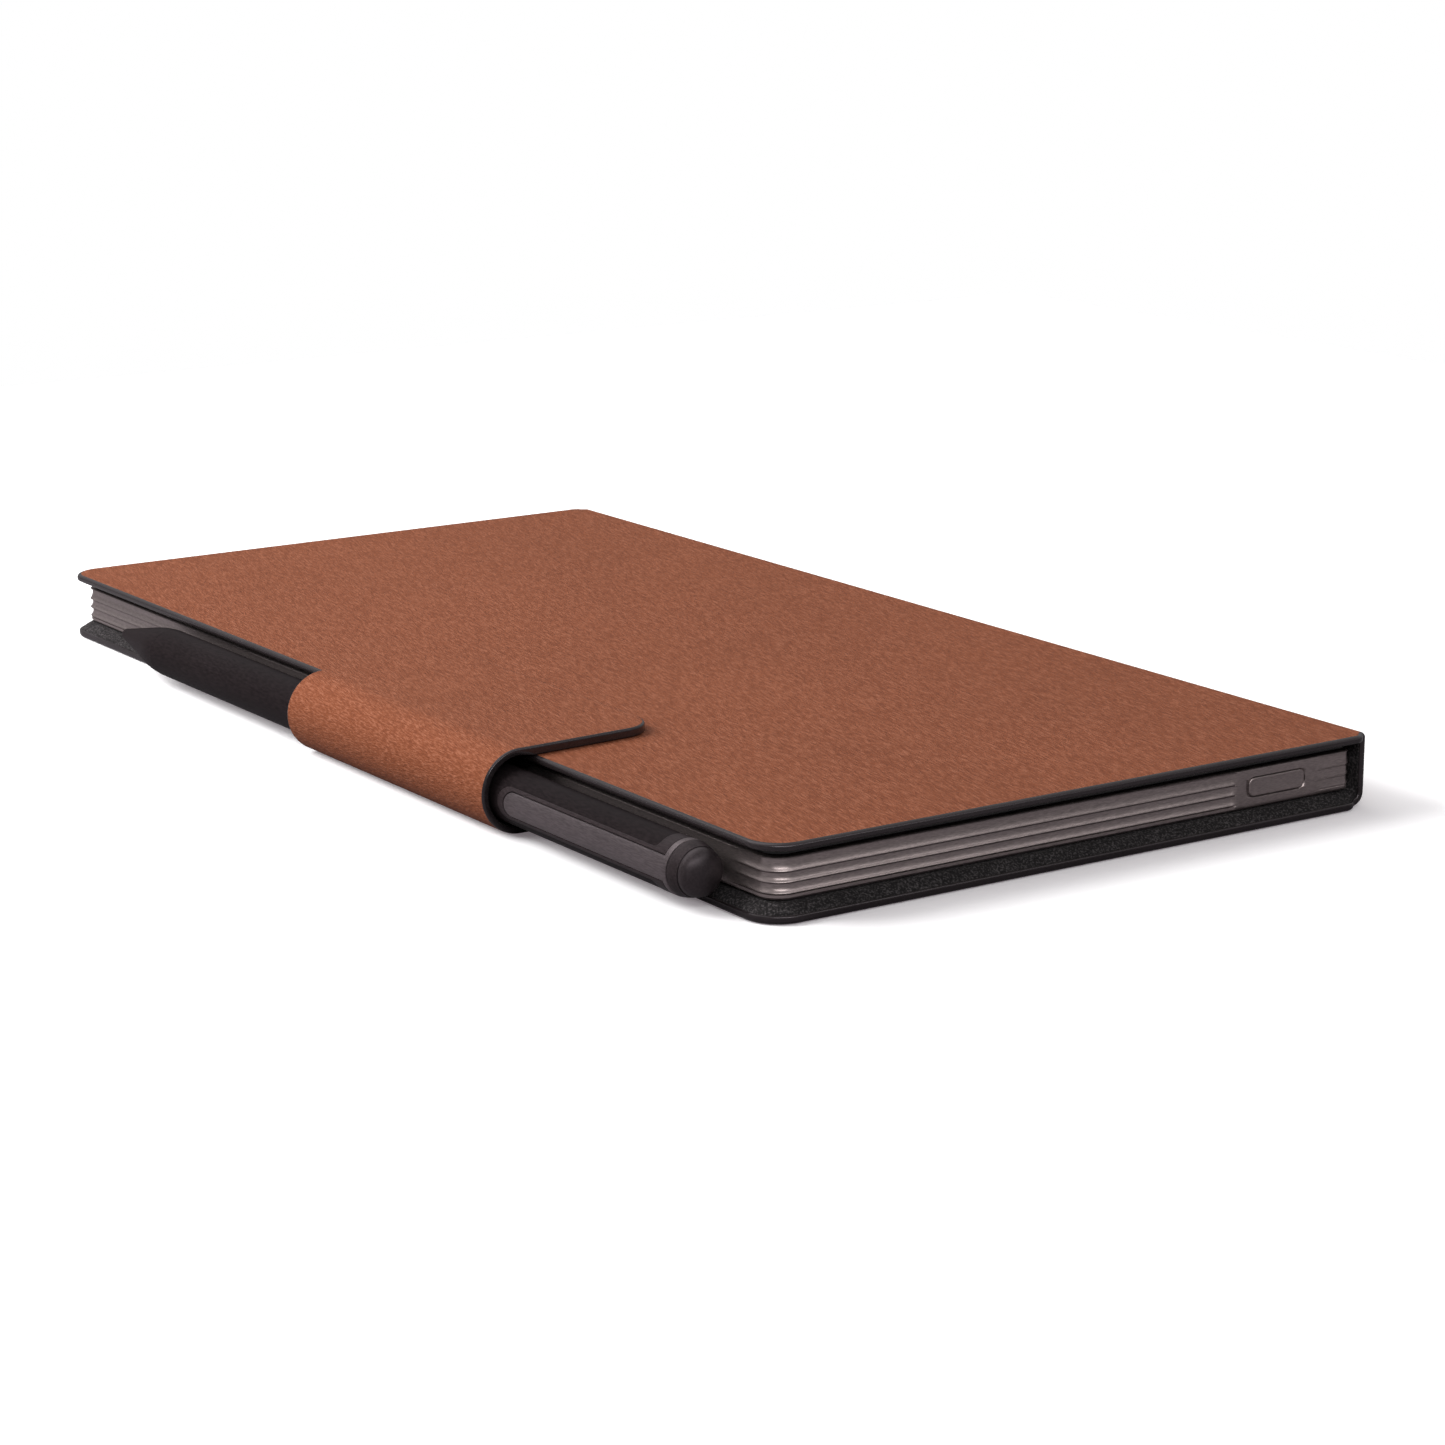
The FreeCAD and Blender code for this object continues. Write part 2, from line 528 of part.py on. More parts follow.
def display():
    top = SHELL_TOP
    x, y = inset_outline("wall_t + clearance")
    mid_z = ("ledge_high", "ledge_high + mid_plate_t")
    mid = plate("mid_plate", x, y, mid_z, PLATE_RADII)
    flex_x, flex_y = centred("0", "flex_w"), ("flex_low_y", "flex_high_y")
    block(mid, "Pocket", "z", centred("0", "flex_w + 4*clearance"),
          ("flex_low_y - 2*clearance", "flex_high_y + 2*clearance"), mid_z)
    flex = new_body("display_flex")
    block(flex, "Pad", "z", flex_x, flex_y, ("ledge_low - 0.6", mid_z[1]))

    x, y = inset_outline("stack_inset")
    level = "(ledge_high + mid_plate_t + stack_gap)"
    for label, thickness in (("digitizer", "digitizer_t"), ("epaper_panel", "panel_t")):
        plate(label, x, y, (level, "%s + %s" % (level, thickness)), STACK_RADII)
        level = "(%s + %s + stack_gap)" % (level, thickness)
    guide_z = (level, level + " + guide_t")
    plate("light_guide", x, ("%s + led_w + clearance" % y[0], y[1]), guide_z, STACK_RADII)
    plate("led_strip", centred("0", "led_l"), (y[0], y[0] + " + led_w"), guide_z)

    outer_x, outer_y = inset_outline("bezel_inset")
    inner_x, inner_y = inset_outline("bezel_inset + bezel_w")
    bezel_z = (top, top + " + bezel_rise")
    bezel = plate("display_bezel", outer_x, outer_y, bezel_z,
                  ("shell_r - bezel_inset", "shell_spine_r - bezel_inset"))
    block(bezel, "Pocket", "z", inner_x, inner_y, bezel_z, STACK_RADII)
    lens_x, lens_y = inset_outline("bezel_inset + bezel_w + clearance")
    lens_high = top + " + bezel_rise - lens_recess"
    plate("cover_lens", lens_x, lens_y, (lens_high + " - lens_t", lens_high), STACK_RADII)


def inner_parts():
    x, y = inset_outline("wall_t + clearance")
    rear_z = (SHELL_LOW, REAR_PLATE_TOP)
    rear = plate("rear_plate", x, y, rear_z, PLATE_RADII)
    discs(rear, "Pocket", "z", SCREW_PLACES, "screw_hole_r", rear_z)
    screws = new_body("rear_plate_screws")
    discs(screws, "Pad", "z", SCREW_PLACES, "screw_head_r", (SHELL_LOW, REAR_PLATE_TOP))
    discs(screws, "Pad", "z", SCREW_PLACES, "screw_r", (REAR_PLATE_TOP, "ledge_low - 0.2"))

    cell_z = (REAR_PLATE_TOP + " + clearance", "ledge_low - 0.2")
    cells = (("battery_upper", "cell_middle + (cell_gap + cell_l)/2"),
             ("battery_lower", "cell_middle - (cell_gap + cell_l)/2"))
    for label, middle in cells:
        plate(label, centred("0", "cell_w"), centred(middle, "cell_l"), cell_z,
              ("cell_r", "cell_r"))
    chip_z = ("chip_z", "chip_z + chip_t")
    plate("battery_board", centred("0", "cell_board_w"),
          centred("cell_board_y", "cell_board_l"), chip_z)

    plate("main_board", centred("0", "main_board_w"), centred("main_board_y", "main_board_l"),
          ("main_board_z", "main_board_z + main_board_t"))
    cans = new_body("shield_cans")
    for span in CAN_SPANS:
        block(cans, "Pad", "z", span, centred("can_y", "can_l"), ("can_z", "main_board_z"))
    plate("hall_sensor", centred("hall_x", "hall_w"), centred("hall_y", "hall_w"), chip_z)
    plate("microphone", centred("mic_x", "mic_w"), centred("mic_y", "mic_l"), chip_z)
    speakers = new_body("speakers")
    for middle in SPEAKER_CENTRES:
        block(speakers, "Pad", "z", centred(middle, "speaker_w"),
              centred("speaker_y", "speaker_l"), ("speaker_z", "inner_high"))
    plate("antenna_strip", centred("antenna_x", "antenna_t"),
          centred("antenna_y", "antenna_l"), ("can_z", "inner_high"))

    inner_face = "cover_w/2 - inset - wall_t - clearance"
    for label, centres in (("pen_magnets", PEN_MAGNET_CENTRES),
                           ("closure_magnets", CLOSURE_MAGNET_CENTRES)):
        magnets = new_body(label)
        for middle in centres:
            block(magnets, "Pad", "z", (inner_face + " - magnet_t", inner_face),
                  centred(middle, "magnet_l"), ("magnet_low", "magnet_high"))


def power_button():
    body = new_body("power_button")
    face = "%s + button_proud" % TOP_END
    back = "%s - button_t" % TOP_END
    stem_end = back + " - stem_l"
    block(body, "Pad", "y", centred("button_x", "button_w"), centred("button_z", "button_h"),
          (back, face), ("button_r", "button_r"))
    block(body, "Pad", "y", centred("button_x", "stem_w"), ("stem_low", "stem_high"),
          (stem_end, back + " + clearance"))
    switch_face = stem_end + " - button_travel - clearance"
    switch = new_body("power_switch")
    block(switch, "Pad", "y", centred("button_x", "switch_w"), ("switch_low", "switch_high"),
          (switch_face + " - switch_l", switch_face))


def usb_socket():
    mouth = "-%s + clearance" % TOP_END
    back = "-%s + usb_depth" % TOP_END
    body = new_body("usb_c_socket")
    round_end = "(usb_h/2 - 0.05)"
    block(body, "Pad", "y", centred("0", "usb_w"), centred("usb_z", "usb_h"),
          (mouth, back), (round_end, round_end))
    block(body, "Pocket", "y", centred("0", "usb_w - 2*usb_wall"),
          centred("usb_z", "usb_h - 2*usb_wall"), (mouth, back + " - usb_back_t"),
          (round_end + " - usb_wall",) * 2)
    tongue = new_body("usb_tongue")
    block(tongue, "Pad", "y", centred("0", "usb_tongue_w"), centred("usb_z", "usb_tongue_t"),
          (mouth + " + usb_tongue_gap", back + " - usb_back_t"))


# ---------------------------------------------------------------- pen

def pen():
    core_r = "(pen_r - sleeve_t)"
    turned("pen_core", (
        ("bore_r", "pen_full_y"), (core_r, "pen_full_y"), (core_r, "sleeve_end_y"),
        ("pen_r", "sleeve_end_y"), ("pen_r", "collar_end_y"), ("bore_r", "collar_end_y")))

    # the tongue is the part of a full-size tube that shows through the sleeve's window
    stock = turned("pen_tongue", (
        (core_r, "tongue_y"), ("pen_r", "tongue_y"),
        ("pen_r", "sleeve_end_y"), (core_r, "sleeve_end_y")))
    keep_tongue_shape(stock, "tongue_half", ("tongue_y", "sleeve_end_y + 0.5"))

    sleeve = turned("pen_sleeve", (
        (core_r, "pen_full_y"), ("pen_r", "pen_full_y"),
        ("pen_r", "sleeve_end_y - clearance"), (core_r, "sleeve_end_y - clearance")))
    window = new_sketch(sleeve, "x", "2*pen_r")
    draw_window(window, "tongue_half + 0.08", ("tongue_y - 0.08", "sleeve_end_y + 1"))
    extrude(sleeve, "Pocket", "x", window, ("0", "2*pen_r"))

    turned("pen_nose", (
        ("nib_bore_r", "pen_tip_y"), ("pen_nose_r", "pen_tip_y"),
        ("pen_r", "pen_full_y - clearance"), ("bore_r", "pen_full_y - clearance"),
        ("coil_r + 2*clearance", "pen_tip_y + coil_at - 0.5"),
        ("ferrite_r + 2*clearance", "pen_tip_y + ferrite_at - 0.5"),
        ("nib_bore_r", "pen_tip_y + ferrite_at - 2.5")),
        {1: "nose_bulge_r"})
    turned("pen_cap_ring", (
        ("bore_r", "collar_end_y + clearance"), ("pen_r - 0.1", "collar_end_y + clearance"),
        ("cap_end_r", "cap_end_y"), ("bore_r", "cap_end_y")))


def draw_window(sketch, half, span):
    """Long slot with a round end towards the tip: u runs along the pen, v is up."""
    low_u = "%s + %s" % (span[0], half)
    points = ((low_u, "-(%s)" % half), (span[1], "-(%s)" % half), (span[1], half),
              (low_u, half), (span[0], "0"))
    draw_outline(sketch, points, {3: half, 4: half})


def keep_tongue_shape(body, half, span):
    """Cut a tube away outside the tongue's outline, seen from +X."""
    far = "pen_r + 2"
    cut = new_sketch(body, "x", "2*pen_r")
    low_u = "%s + %s" % (span[0], half)
    upper = (("%s - 1" % span[0], "0"), (span[0], "0"), (low_u, half), (span[1], half),
             (span[1], far), ("%s - 1" % span[0], far))
    draw_outline(cut, upper, {1: "-(%s)" % half})
    extrude(body, "Pocket", "x", cut, ("-2*pen_r", "2*pen_r"))
    cut = new_sketch(body, "x", "2*pen_r")
    lower = tuple((u, "-(%s)" % v if v != "0" else "0") for u, v in reversed(upper))
    draw_outline(cut, lower, {3: "-(%s)" % half})
    extrude(body, "Pocket", "x", cut, ("-2*pen_r", "2*pen_r"))
    behind = new_sketch(body, "x", "0")
    draw_rounded(behind, ("%s - 1" % span[0], span[1]), ("-(%s)" % far, far), ("0.3", "0.3"))
    extrude(body, "Pocket", "x", behind, ("-2*pen_r", "0"))


def tube(label, inner, outer, start, length):
    """A plain turned tube or rod along the pen, placed from the tip."""
    low = "pen_tip_y + " + start
    high = "%s + %s" % (low, length)
    return turned(label, ((inner, low), (outer, low), (outer, high), (inner, high)))


def pen_inner_parts():
    nib_end = "pen_tip_y - nib_proud"
    turned("pen_nib", (("0", nib_end), ("nib_r", nib_end + " + 0.7"),
                       ("nib_r", nib_end + " + nib_l"), ("0", nib_end + " + nib_l")))
    tube("pen_ferrite", "nib_bore_r", "ferrite_r", "ferrite_at", "ferrite_l")
    tube("pen_coil", "ferrite_r + 0.05", "coil_r", "coil_at", "coil_l")
    tube("pen_pressure_sensor", "0", "sensor_r", "sensor_at", "sensor_l")
    board = new_body("pen_circuit_board")
    block(board, "Pad", "y", centred("0", "pen_board_w"), centred("0", "pen_board_t"),
          ("pen_board_low", "pen_board_high"))
    place_on_pen(board)
    magnet = new_body("pen_magnet")
    block(magnet, "Pad", "y", centred("0", "pen_magnet_w"), centred("0", "pen_magnet_t"),
          ("pen_magnet_low", "pen_magnet_high"))
    place_on_pen(magnet)

    piston_r = "(bore_r - 0.15)"
    stem_low = "cap_end_y - end_button_l"
    piston_low = "cap_end_y - end_piston_l"
    dome_low = "cap_end_y + end_button_gap"
    turned("pen_end_button", (
        ("0", stem_low), ("end_stem_r", stem_low), ("end_stem_r", piston_low),
        (piston_r, piston_low), (piston_r, dome_low), ("dome_r", dome_low),
        ("0", dome_low + " + dome_h")),
        {5: "(dome_r*dome_r + dome_h*dome_h) / (2*dome_h)"})
    end_button_spring()


def end_button_spring():
    """A coil of round wire round the end button's stem."""
    spring = doc.addObject("Part::Feature", "pen_button_spring")
    spring.Label = "pen_button_spring"
    radius, length = number("spring_r"), number("spring_l")
    helix = Part.makeHelix(length / SPRING_TURNS, length, radius)
    wire = Part.Circle(FreeCAD.Vector(radius, 0, 0), FreeCAD.Vector(0, 1, 0),
                       number("spring_wire_r"))
    section = Part.Wire([wire.toShape()])
    spring.Shape = Part.Wire(helix.Edges).makePipeShell([section], True, True)
    along_y = FreeCAD.Rotation(FreeCAD.Vector(1, 0, 0), -90)
    place = FreeCAD.Vector(number("pen_x"),
                           number("cap_end_y - end_piston_l - spring_gap - spring_l"),
                           number("pen_z"))
    spring.Placement = FreeCAD.Placement(place, along_y)
    parts.append(spring)


# ---------------------------------------------------------------- build and write

def check_and_write():
    doc.recompute()
    faults = []
    for item in doc.Objects:
        if "Invalid" in item.State or "Error" in item.State:
            faults.append("%s: %s" % (item.Label, item.State))
    for item in parts:
        if item.Shape.isNull() or not item.Shape.isValid() or not item.Shape.Solids:
            faults.append("%s: shape is null or not valid" % item.Label)
    if faults:
        raise RuntimeError("; ".join(faults))
    os.makedirs("parts", exist_ok=True)
    for item in parts:
        item.Shape.exportStep("parts/%s.step" % item.Label)
    print("wrote %d parts" % len(parts))


back_cover()
front_cover()
spine()
creases()
strap()
mounting_sheet()
chassis()
display()
inner_parts()
power_button()
usb_socket()
pen()
pen_inner_parts()
check_and_write()
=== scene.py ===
import bisect
import math

import bmesh
import bpy
from mathutils import Matrix, Vector


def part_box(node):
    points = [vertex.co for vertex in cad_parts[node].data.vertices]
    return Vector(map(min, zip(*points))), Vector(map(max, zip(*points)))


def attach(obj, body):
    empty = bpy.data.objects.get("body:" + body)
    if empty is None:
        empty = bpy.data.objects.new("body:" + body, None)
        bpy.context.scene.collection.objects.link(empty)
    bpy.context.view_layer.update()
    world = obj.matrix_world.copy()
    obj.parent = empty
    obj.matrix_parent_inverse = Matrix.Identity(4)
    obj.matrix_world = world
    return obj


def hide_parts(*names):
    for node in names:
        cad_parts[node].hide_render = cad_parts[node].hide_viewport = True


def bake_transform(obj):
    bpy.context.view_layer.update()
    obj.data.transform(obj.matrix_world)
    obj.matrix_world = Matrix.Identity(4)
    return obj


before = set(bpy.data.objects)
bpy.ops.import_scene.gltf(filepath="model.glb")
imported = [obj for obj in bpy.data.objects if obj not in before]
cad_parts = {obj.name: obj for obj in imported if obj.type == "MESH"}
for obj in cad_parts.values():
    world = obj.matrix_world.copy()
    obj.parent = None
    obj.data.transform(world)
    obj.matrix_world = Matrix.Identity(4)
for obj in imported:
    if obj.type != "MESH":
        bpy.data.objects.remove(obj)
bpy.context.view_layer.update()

# E-reader in a leather folio with a pen. The frame is the CAD's: metres, +Z up, +X towards
# the fore-edge, -X towards the spine, +Y towards the end with the power button.
# Sizes below are millimetres and are turned into metres when a mesh is written.

MM = 0.001


def span(*nodes):
    """Lowest and highest corner of some CAD nodes together, in millimetres."""
    boxes = [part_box(node) for node in nodes]
    low = [min(box[0][axis] for box in boxes) / MM for axis in range(3)]
    high = [max(box[1][axis] for box in boxes) / MM for axis in range(3)]
    return Vector(low), Vector(high)


# ------------ measures from the frame

front_low, front_high = span("front_cover_leather", "front_cover_lining")
back_low, back_high = span("back_cover_leather", "back_cover_pad")
spine_low, spine_high = span("spine_leather", "spine_lining")
wrap_low, wrap_high = span("strap_wrap_leather")
tab_low, tab_high = span("strap_tab_leather", "strap_tab_lining")
shell_low, shell_high = span("chassis")
bezel_low, bezel_high = span("display_bezel")
lens_low, _ = span("cover_lens")
key_low, key_high = span("power_button")
socket_low, socket_high = span("usb_c_socket")
core_low, core_high = span("pen_core")
cap_low, cap_high = span("pen_cap_ring")
nose_low, nose_high = span("pen_nose")
nib_low, nib_high = span("pen_nib")
dome_low, dome_high = span("pen_end_button")

PEN_X = (core_low.x + core_high.x) / 2
PEN_Z = (core_low.z + core_high.z) / 2
PEN_R = (core_high.z - core_low.z) / 2
FORE_X = front_high.x
END_Y = front_high.y
SPINE_END_Y = spine_high.y
COVER_TOP = front_high.z
COVER_UNDER = front_low.z
SPINE_X = spine_low.x
SPINE_INNER_X = spine_high.x
TOP_CREASE_X = front_low.x
TOP_CREASE_Z = spine_high.z
LOW_CREASE_X = back_low.x
LOW_CREASE_Z = spine_low.z
PAD_TOP = back_high.z

CORNER_R = 6.0
RIM_TOP = 1.4
LEATHER_SEAM_Z = 3.0
LINING_SEAM_Z = 4.6
SEAM_OVERRUN = 3.0
OUTLINE_SPARE = 2.0
STRAP_T = 1.1


# ------------ outlines and plates

def rounded_outline(corners, arc_step=6.0):
    """Closed outline as (point, inward normal) pairs. Corners are (u, v, radius), run
    anticlockwise; a sharp corner's normal is its mitre."""
    ring = []
    count = len(corners)
    for index, (u, v, radius) in enumerate(corners):
        here = Vector((u, v))
        before = Vector(corners[index - 1][:2])
        after = Vector(corners[(index + 1) % count][:2])
        coming = (here - before).normalized()
        going = (after - here).normalized()
        first = Vector((-coming.y, coming.x))
        last = Vector((-going.y, going.x))
        turn = math.atan2(coming.x * going.y - coming.y * going.x, coming.dot(going))
        if radius <= 0.0 or abs(turn) < 1e-4:
            ring.append((here, (first + last) / (1.0 + first.dot(last))))
            continue
        side = math.copysign(1.0, turn)
        centre = here - coming * radius * math.tan(abs(turn) / 2) + first * radius * side
        steps = max(2, math.ceil(abs(math.degrees(turn)) / arc_step))
        for step in range(steps + 1):
            angle = turn * step / steps
            inward = Matrix.Rotation(angle, 2) @ first
            ring.append((centre - inward * radius * side, inward))
    return ring


def steps_between(start, end, count):
    return [start + (end - start) * step / count for step in range(count + 1)]


def new_object(name, data):
    item = bpy.data.objects.new(name, data)
    bpy.context.scene.collection.objects.link(item)
    return item


def new_piece(name, mesh_data, materials, body=None, sharp=50.0):
    """Turn a bmesh in metres into a smooth shaded object."""
    bmesh.ops.recalc_face_normals(mesh_data, faces=mesh_data.faces)
    mesh = bpy.data.meshes.new(name)
    mesh_data.to_mesh(mesh)
    mesh_data.free()
    mesh.shade_smooth()
    mesh.set_sharp_from_angle(angle=math.radians(sharp))
    for material in materials:
        mesh.materials.append(material)
    piece = new_object(name, mesh)
    weighting = piece.modifiers.new("face_weighted_shading", "WEIGHTED_NORMAL")
    weighting.keep_sharp = True
    weighting.weight = 60
    if body:
        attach(piece, body)
    return piece


def plate(name, corners, profile, carry, materials, body=None, cuts=(), clips=(), sharp=50.0):
    """A sheet with a worked edge. It is drawn flat as (u, v, depth), cut across wherever it
    has to bend, and carried into place.
    profile(u, v) gives the edge as (inset, depth, material) rows from the top face round to
    the bottom one, and the material belongs to the band or face that starts there.
    cuts are (axis, place). clips are (axis, place, side, fill): what lies beyond is removed."""
    mesh = bmesh.new()
    rows = []
    ring = rounded_outline(corners)
    for point, inward in ring:
        edge = profile(point.x, point.y)
        rows.append([mesh.verts.new((*(point + inward * inset), depth))
                     for inset, depth, _ in edge])
    bands = [material for _, _, material in profile(*corners[0][:2])]
    for index, row in enumerate(rows):
        following = rows[(index + 1) % len(rows)]
        for band in range(len(row) - 1):
            face = mesh.faces.new((row[band], following[band],
                                   following[band + 1], row[band + 1]))
            face.material_index = bands[band]
    caps = []
    for band, reach in ((0, bands[0]), (-1, bands[-1])):
        cap = mesh.faces.new([row[band] for row in rows])
        cap.material_index = reach
        caps.append(cap)
    bmesh.ops.recalc_face_normals(mesh, faces=mesh.faces)
    bmesh.ops.triangulate(mesh, faces=caps)
    for axis, place, side, fill in clips:
        trim(mesh, axis, place, side)
        if fill:
            open_edges = [edge for edge in mesh.edges if edge.is_boundary]
            bmesh.ops.holes_fill(mesh, edges=open_edges)
    for axis, place in cuts:
        trim(mesh, axis, place, 0)
    for vert in mesh.verts:
        vert.co = carry(*vert.co) * MM
    bmesh.ops.remove_doubles(mesh, verts=mesh.verts, dist=2e-6)
    return new_piece(name, mesh, materials, body, sharp)


def trim(mesh, axis, place, side):
    """Cut across at one coordinate; side 1 removes what lies above it, -1 what lies below."""
    at = Vector((0.0, 0.0, 0.0))
    at[axis] = place
    normal = Vector((0.0, 0.0, 0.0))
    normal[axis] = 1.0
    bmesh.ops.bisect_plane(
        mesh, geom=mesh.verts[:] + mesh.edges[:] + mesh.faces[:], plane_co=at,
        plane_no=normal, dist=1e-5, clear_outer=side > 0, clear_inner=side < 0)


def constant(rows):
    return lambda u, v: rows


# ------------ routes across the book

def line(start, end):
    start, end = Vector(start), Vector(end)
    return (end - start).length, lambda t: start + (end - start) * t


def arc(centre, radii, start, end):
    """Part of an ellipse; angles in degrees, from +X towards +Z."""
    centre = Vector(centre)
    sweep = math.radians(end - start)

    def at(t):
        angle = math.radians(start) + sweep * t
        return centre + Vector((radii[0] * math.cos(angle), radii[1] * math.sin(angle)))
    return abs(sweep) * (radii[0] + radii[1]) / 2, at


def route(legs, lengths=None):
    """Points along joined legs. lengths, where given, pace it like another route."""
    lengths = lengths or [length for length, _ in legs]
    starts = [sum(lengths[:index]) for index in range(len(legs))]

    def at(u):
        index = max(0, bisect.bisect_right(starts, u) - 1)
        return legs[index][1]((u - starts[index]) / lengths[index])
    return at, lengths, starts


def ruled(outer, inner, thickness):
    """Carry (u, v, depth) to the space between two routes."""
    def carry(u, v, depth):
        place = outer(u).lerp(inner(u), depth / thickness)
        return Vector((place.x, v, place.y))
    return carry


# ------------ materials

def feed(tree, node, values):
    for key, value in values.items():
        if isinstance(value, bpy.types.NodeSocket):
            tree.links.new(value, node.inputs[key])
        else:
            node.inputs[key].default_value = value
    return node


def add(tree, kind, values=None, **settings):
    node = tree.nodes.new(kind)
    for key, value in settings.items():
        setattr(node, key, value)
    return feed(tree, node, values or {})


def fresh_tree(block):
    block.use_nodes = True
    block.node_tree.nodes.clear()
    return block.node_tree


def ramp(tree, factor, stops):
    node = add(tree, "ShaderNodeValToRGB", {"Fac": factor})
    elements = node.color_ramp.elements
    while len(elements) < len(stops):
        elements.new(0.5)
    for element, (position, colour) in zip(elements, stops):
        element.position = position
        element.color = (*colour, 1.0)
    return node.outputs["Color"]


def spread(tree, value, low, high):
    node = add(tree, "ShaderNodeMapRange", {
        "Value": value, "From Min": 0.3, "From Max": 0.7, "To Min": low, "To Max": high})
    return node.outputs["Result"]


def noise(tree, grain, turn=0.0, detail=3.0):
    """Noise whose features are `grain` millimetres long along a frame turned about Z."""
    coordinates = add(tree, "ShaderNodeTexCoord").outputs["Object"]
    mapping = add(tree, "ShaderNodeMapping", {
        "Vector": coordinates, "Rotation": (0.0, 0.0, math.radians(turn)),
        "Scale": tuple(size * MM for size in grain)}, vector_type="TEXTURE")
    texture = add(tree, "ShaderNodeTexNoise", {
        "Vector": mapping.outputs["Vector"], "Scale": 1.0, "Detail": detail, "Roughness": 0.55})
    return texture.outputs["Fac"]


def mixed(tree, factor, first, second, blend="MIX"):
    node = add(tree, "ShaderNodeMix", data_type="RGBA", blend_type=blend)
    for socket, value in ((node.inputs[0], factor), (node.inputs[6], first),
                          (node.inputs[7], second)):
        if isinstance(value, bpy.types.NodeSocket):
            tree.links.new(value, socket)
        else:
            socket.default_value = value
    return node.outputs[2]


def surface(name, tones, grain, rough, bump=0.2, relief=0.03, turn=0.0, patch=None,
            patch_share=0.25, contrast=(0.36, 0.5, 0.64), fine=None, **shader):
    """Procedural finish. tones are the dark, middle and light colours of the grain; grain is
    its size along X, Y, Z; rough is the lowest and highest roughness; patch is the size of
    a slow variation; fine is a second, smaller grain that only roughens the relief."""
    material = bpy.data.materials.new(name)
    tree = fresh_tree(material)
    texture = noise(tree, grain, turn)
    colour = ramp(tree, texture, list(zip(contrast, tones)))
    if patch:
        slow = noise(tree, patch, turn, detail=2.0)
        low = 1.0 - patch_share
        shade = ramp(tree, slow, [(0.35, (low, low, low)), (0.65, (1.0, 1.0, 1.0))])
        colour = mixed(tree, 1.0, colour, shade, "MULTIPLY")
    height = texture
    if fine:
        small = noise(tree, fine, turn, detail=2.0)
        height = add(tree, "ShaderNodeMath", {0: texture, 1: small},
                     operation="ADD").outputs["Value"]
    relief_node = add(tree, "ShaderNodeBump", {
        "Strength": bump, "Distance": relief * MM, "Height": height})
    values = {"Base Color": colour, "Roughness": spread(tree, texture, *rough),
              "Normal": relief_node.outputs["Normal"]}
    values.update({key.replace("_", " "): value for key, value in shader.items()})
    shading = add(tree, "ShaderNodeBsdfPrincipled", values)
    output = add(tree, "ShaderNodeOutputMaterial")
    tree.links.new(shading.outputs["BSDF"], output.inputs["Surface"])
    return material


def greys(dark, middle, light, warmth=0.0):
    """Three neutral tones; warmth above 0 takes green and blue down a little."""
    return [(tone, tone * (1.0 - warmth), tone * (1.0 - warmth * 0.8))
            for tone in (dark, middle, light)]


COOL_TINT = (1.0, 0.86, 0.93, 1.0)
GUNMETAL_TONES = ((0.300, 0.250, 0.245), (0.357, 0.298, 0.292), (0.415, 0.346, 0.339))
LEATHER_TONES = ((0.156, 0.046, 0.021), (0.198, 0.061, 0.028), (0.280, 0.104, 0.058))
GRAIN_TURN = -9.0

brown = surface("brown_leather", LEATHER_TONES, (0.22, 2.0, 0.22), (0.54, 0.66), bump=1.0,
                relief=0.14, turn=GRAIN_TURN, patch=(26.0, 40.0, 26.0), patch_share=0.05,
                contrast=(0.36, 0.5, 0.66), fine=(0.16, 1.2, 0.16), Specular_IOR_Level=0.10)
painted = surface("painted_edge", greys(0.013, 0.017, 0.022, 0.22), (0.5, 0.5, 0.25),
                  (0.20, 0.27), bump=0.12, relief=0.01, patch=(14.0, 14.0, 14.0),
                  Specular_IOR_Level=0.5, Specular_Tint=COOL_TINT, Coat_Weight=0.25,
                  Coat_Roughness=0.14)
suede = surface("suede_lining", greys(0.012, 0.022, 0.080, 0.10), (0.34, 0.34, 0.34),
                (0.82, 0.95), bump=0.8, relief=0.10, patch=(9.0, 9.0, 9.0), patch_share=0.18,
                fine=(0.16, 0.16, 0.16), Specular_IOR_Level=0.12, Sheen_Weight=0.02,
                Sheen_Roughness=0.5)
gunmetal = surface("gunmetal_shell", GUNMETAL_TONES, (0.9, 0.9, 0.12),
                   (0.30, 0.37), bump=0.08, relief=0.01, patch=(30.0, 30.0, 12.0),
                   patch_share=0.08, Metallic=0.85)
frame_black = surface("satin_black_frame", greys(0.012, 0.018, 0.026), (0.3, 0.3, 0.3),
                      (0.42, 0.5), bump=0.15, relief=0.01, patch=(20.0, 20.0, 20.0))
pen_dark = surface("pen_satin", greys(0.009, 0.013, 0.017, 0.26), (0.25, 1.4, 0.25),
                   (0.36, 0.46), bump=0.12, relief=0.01, patch=(12.0, 30.0, 12.0),
                   patch_share=0.15, Specular_IOR_Level=0.035, Specular_Tint=COOL_TINT)
pen_trim_metal = surface("pen_trim_metal", greys(0.018, 0.024, 0.031, 0.26), (0.2, 1.2, 0.2),
                         (0.32, 0.42), bump=0.08, relief=0.01, patch=(10.0, 20.0, 10.0),
                         patch_share=0.1, Specular_IOR_Level=0.12, Specular_Tint=COOL_TINT)
pen_metal = surface("pen_gunmetal", greys(0.16, 0.195, 0.23, 0.17), (0.16, 1.5, 0.16),
                    (0.36, 0.44), bump=0.08, relief=0.01, patch=(10.0, 20.0, 10.0),
                    patch_share=0.08, Metallic=0.85)
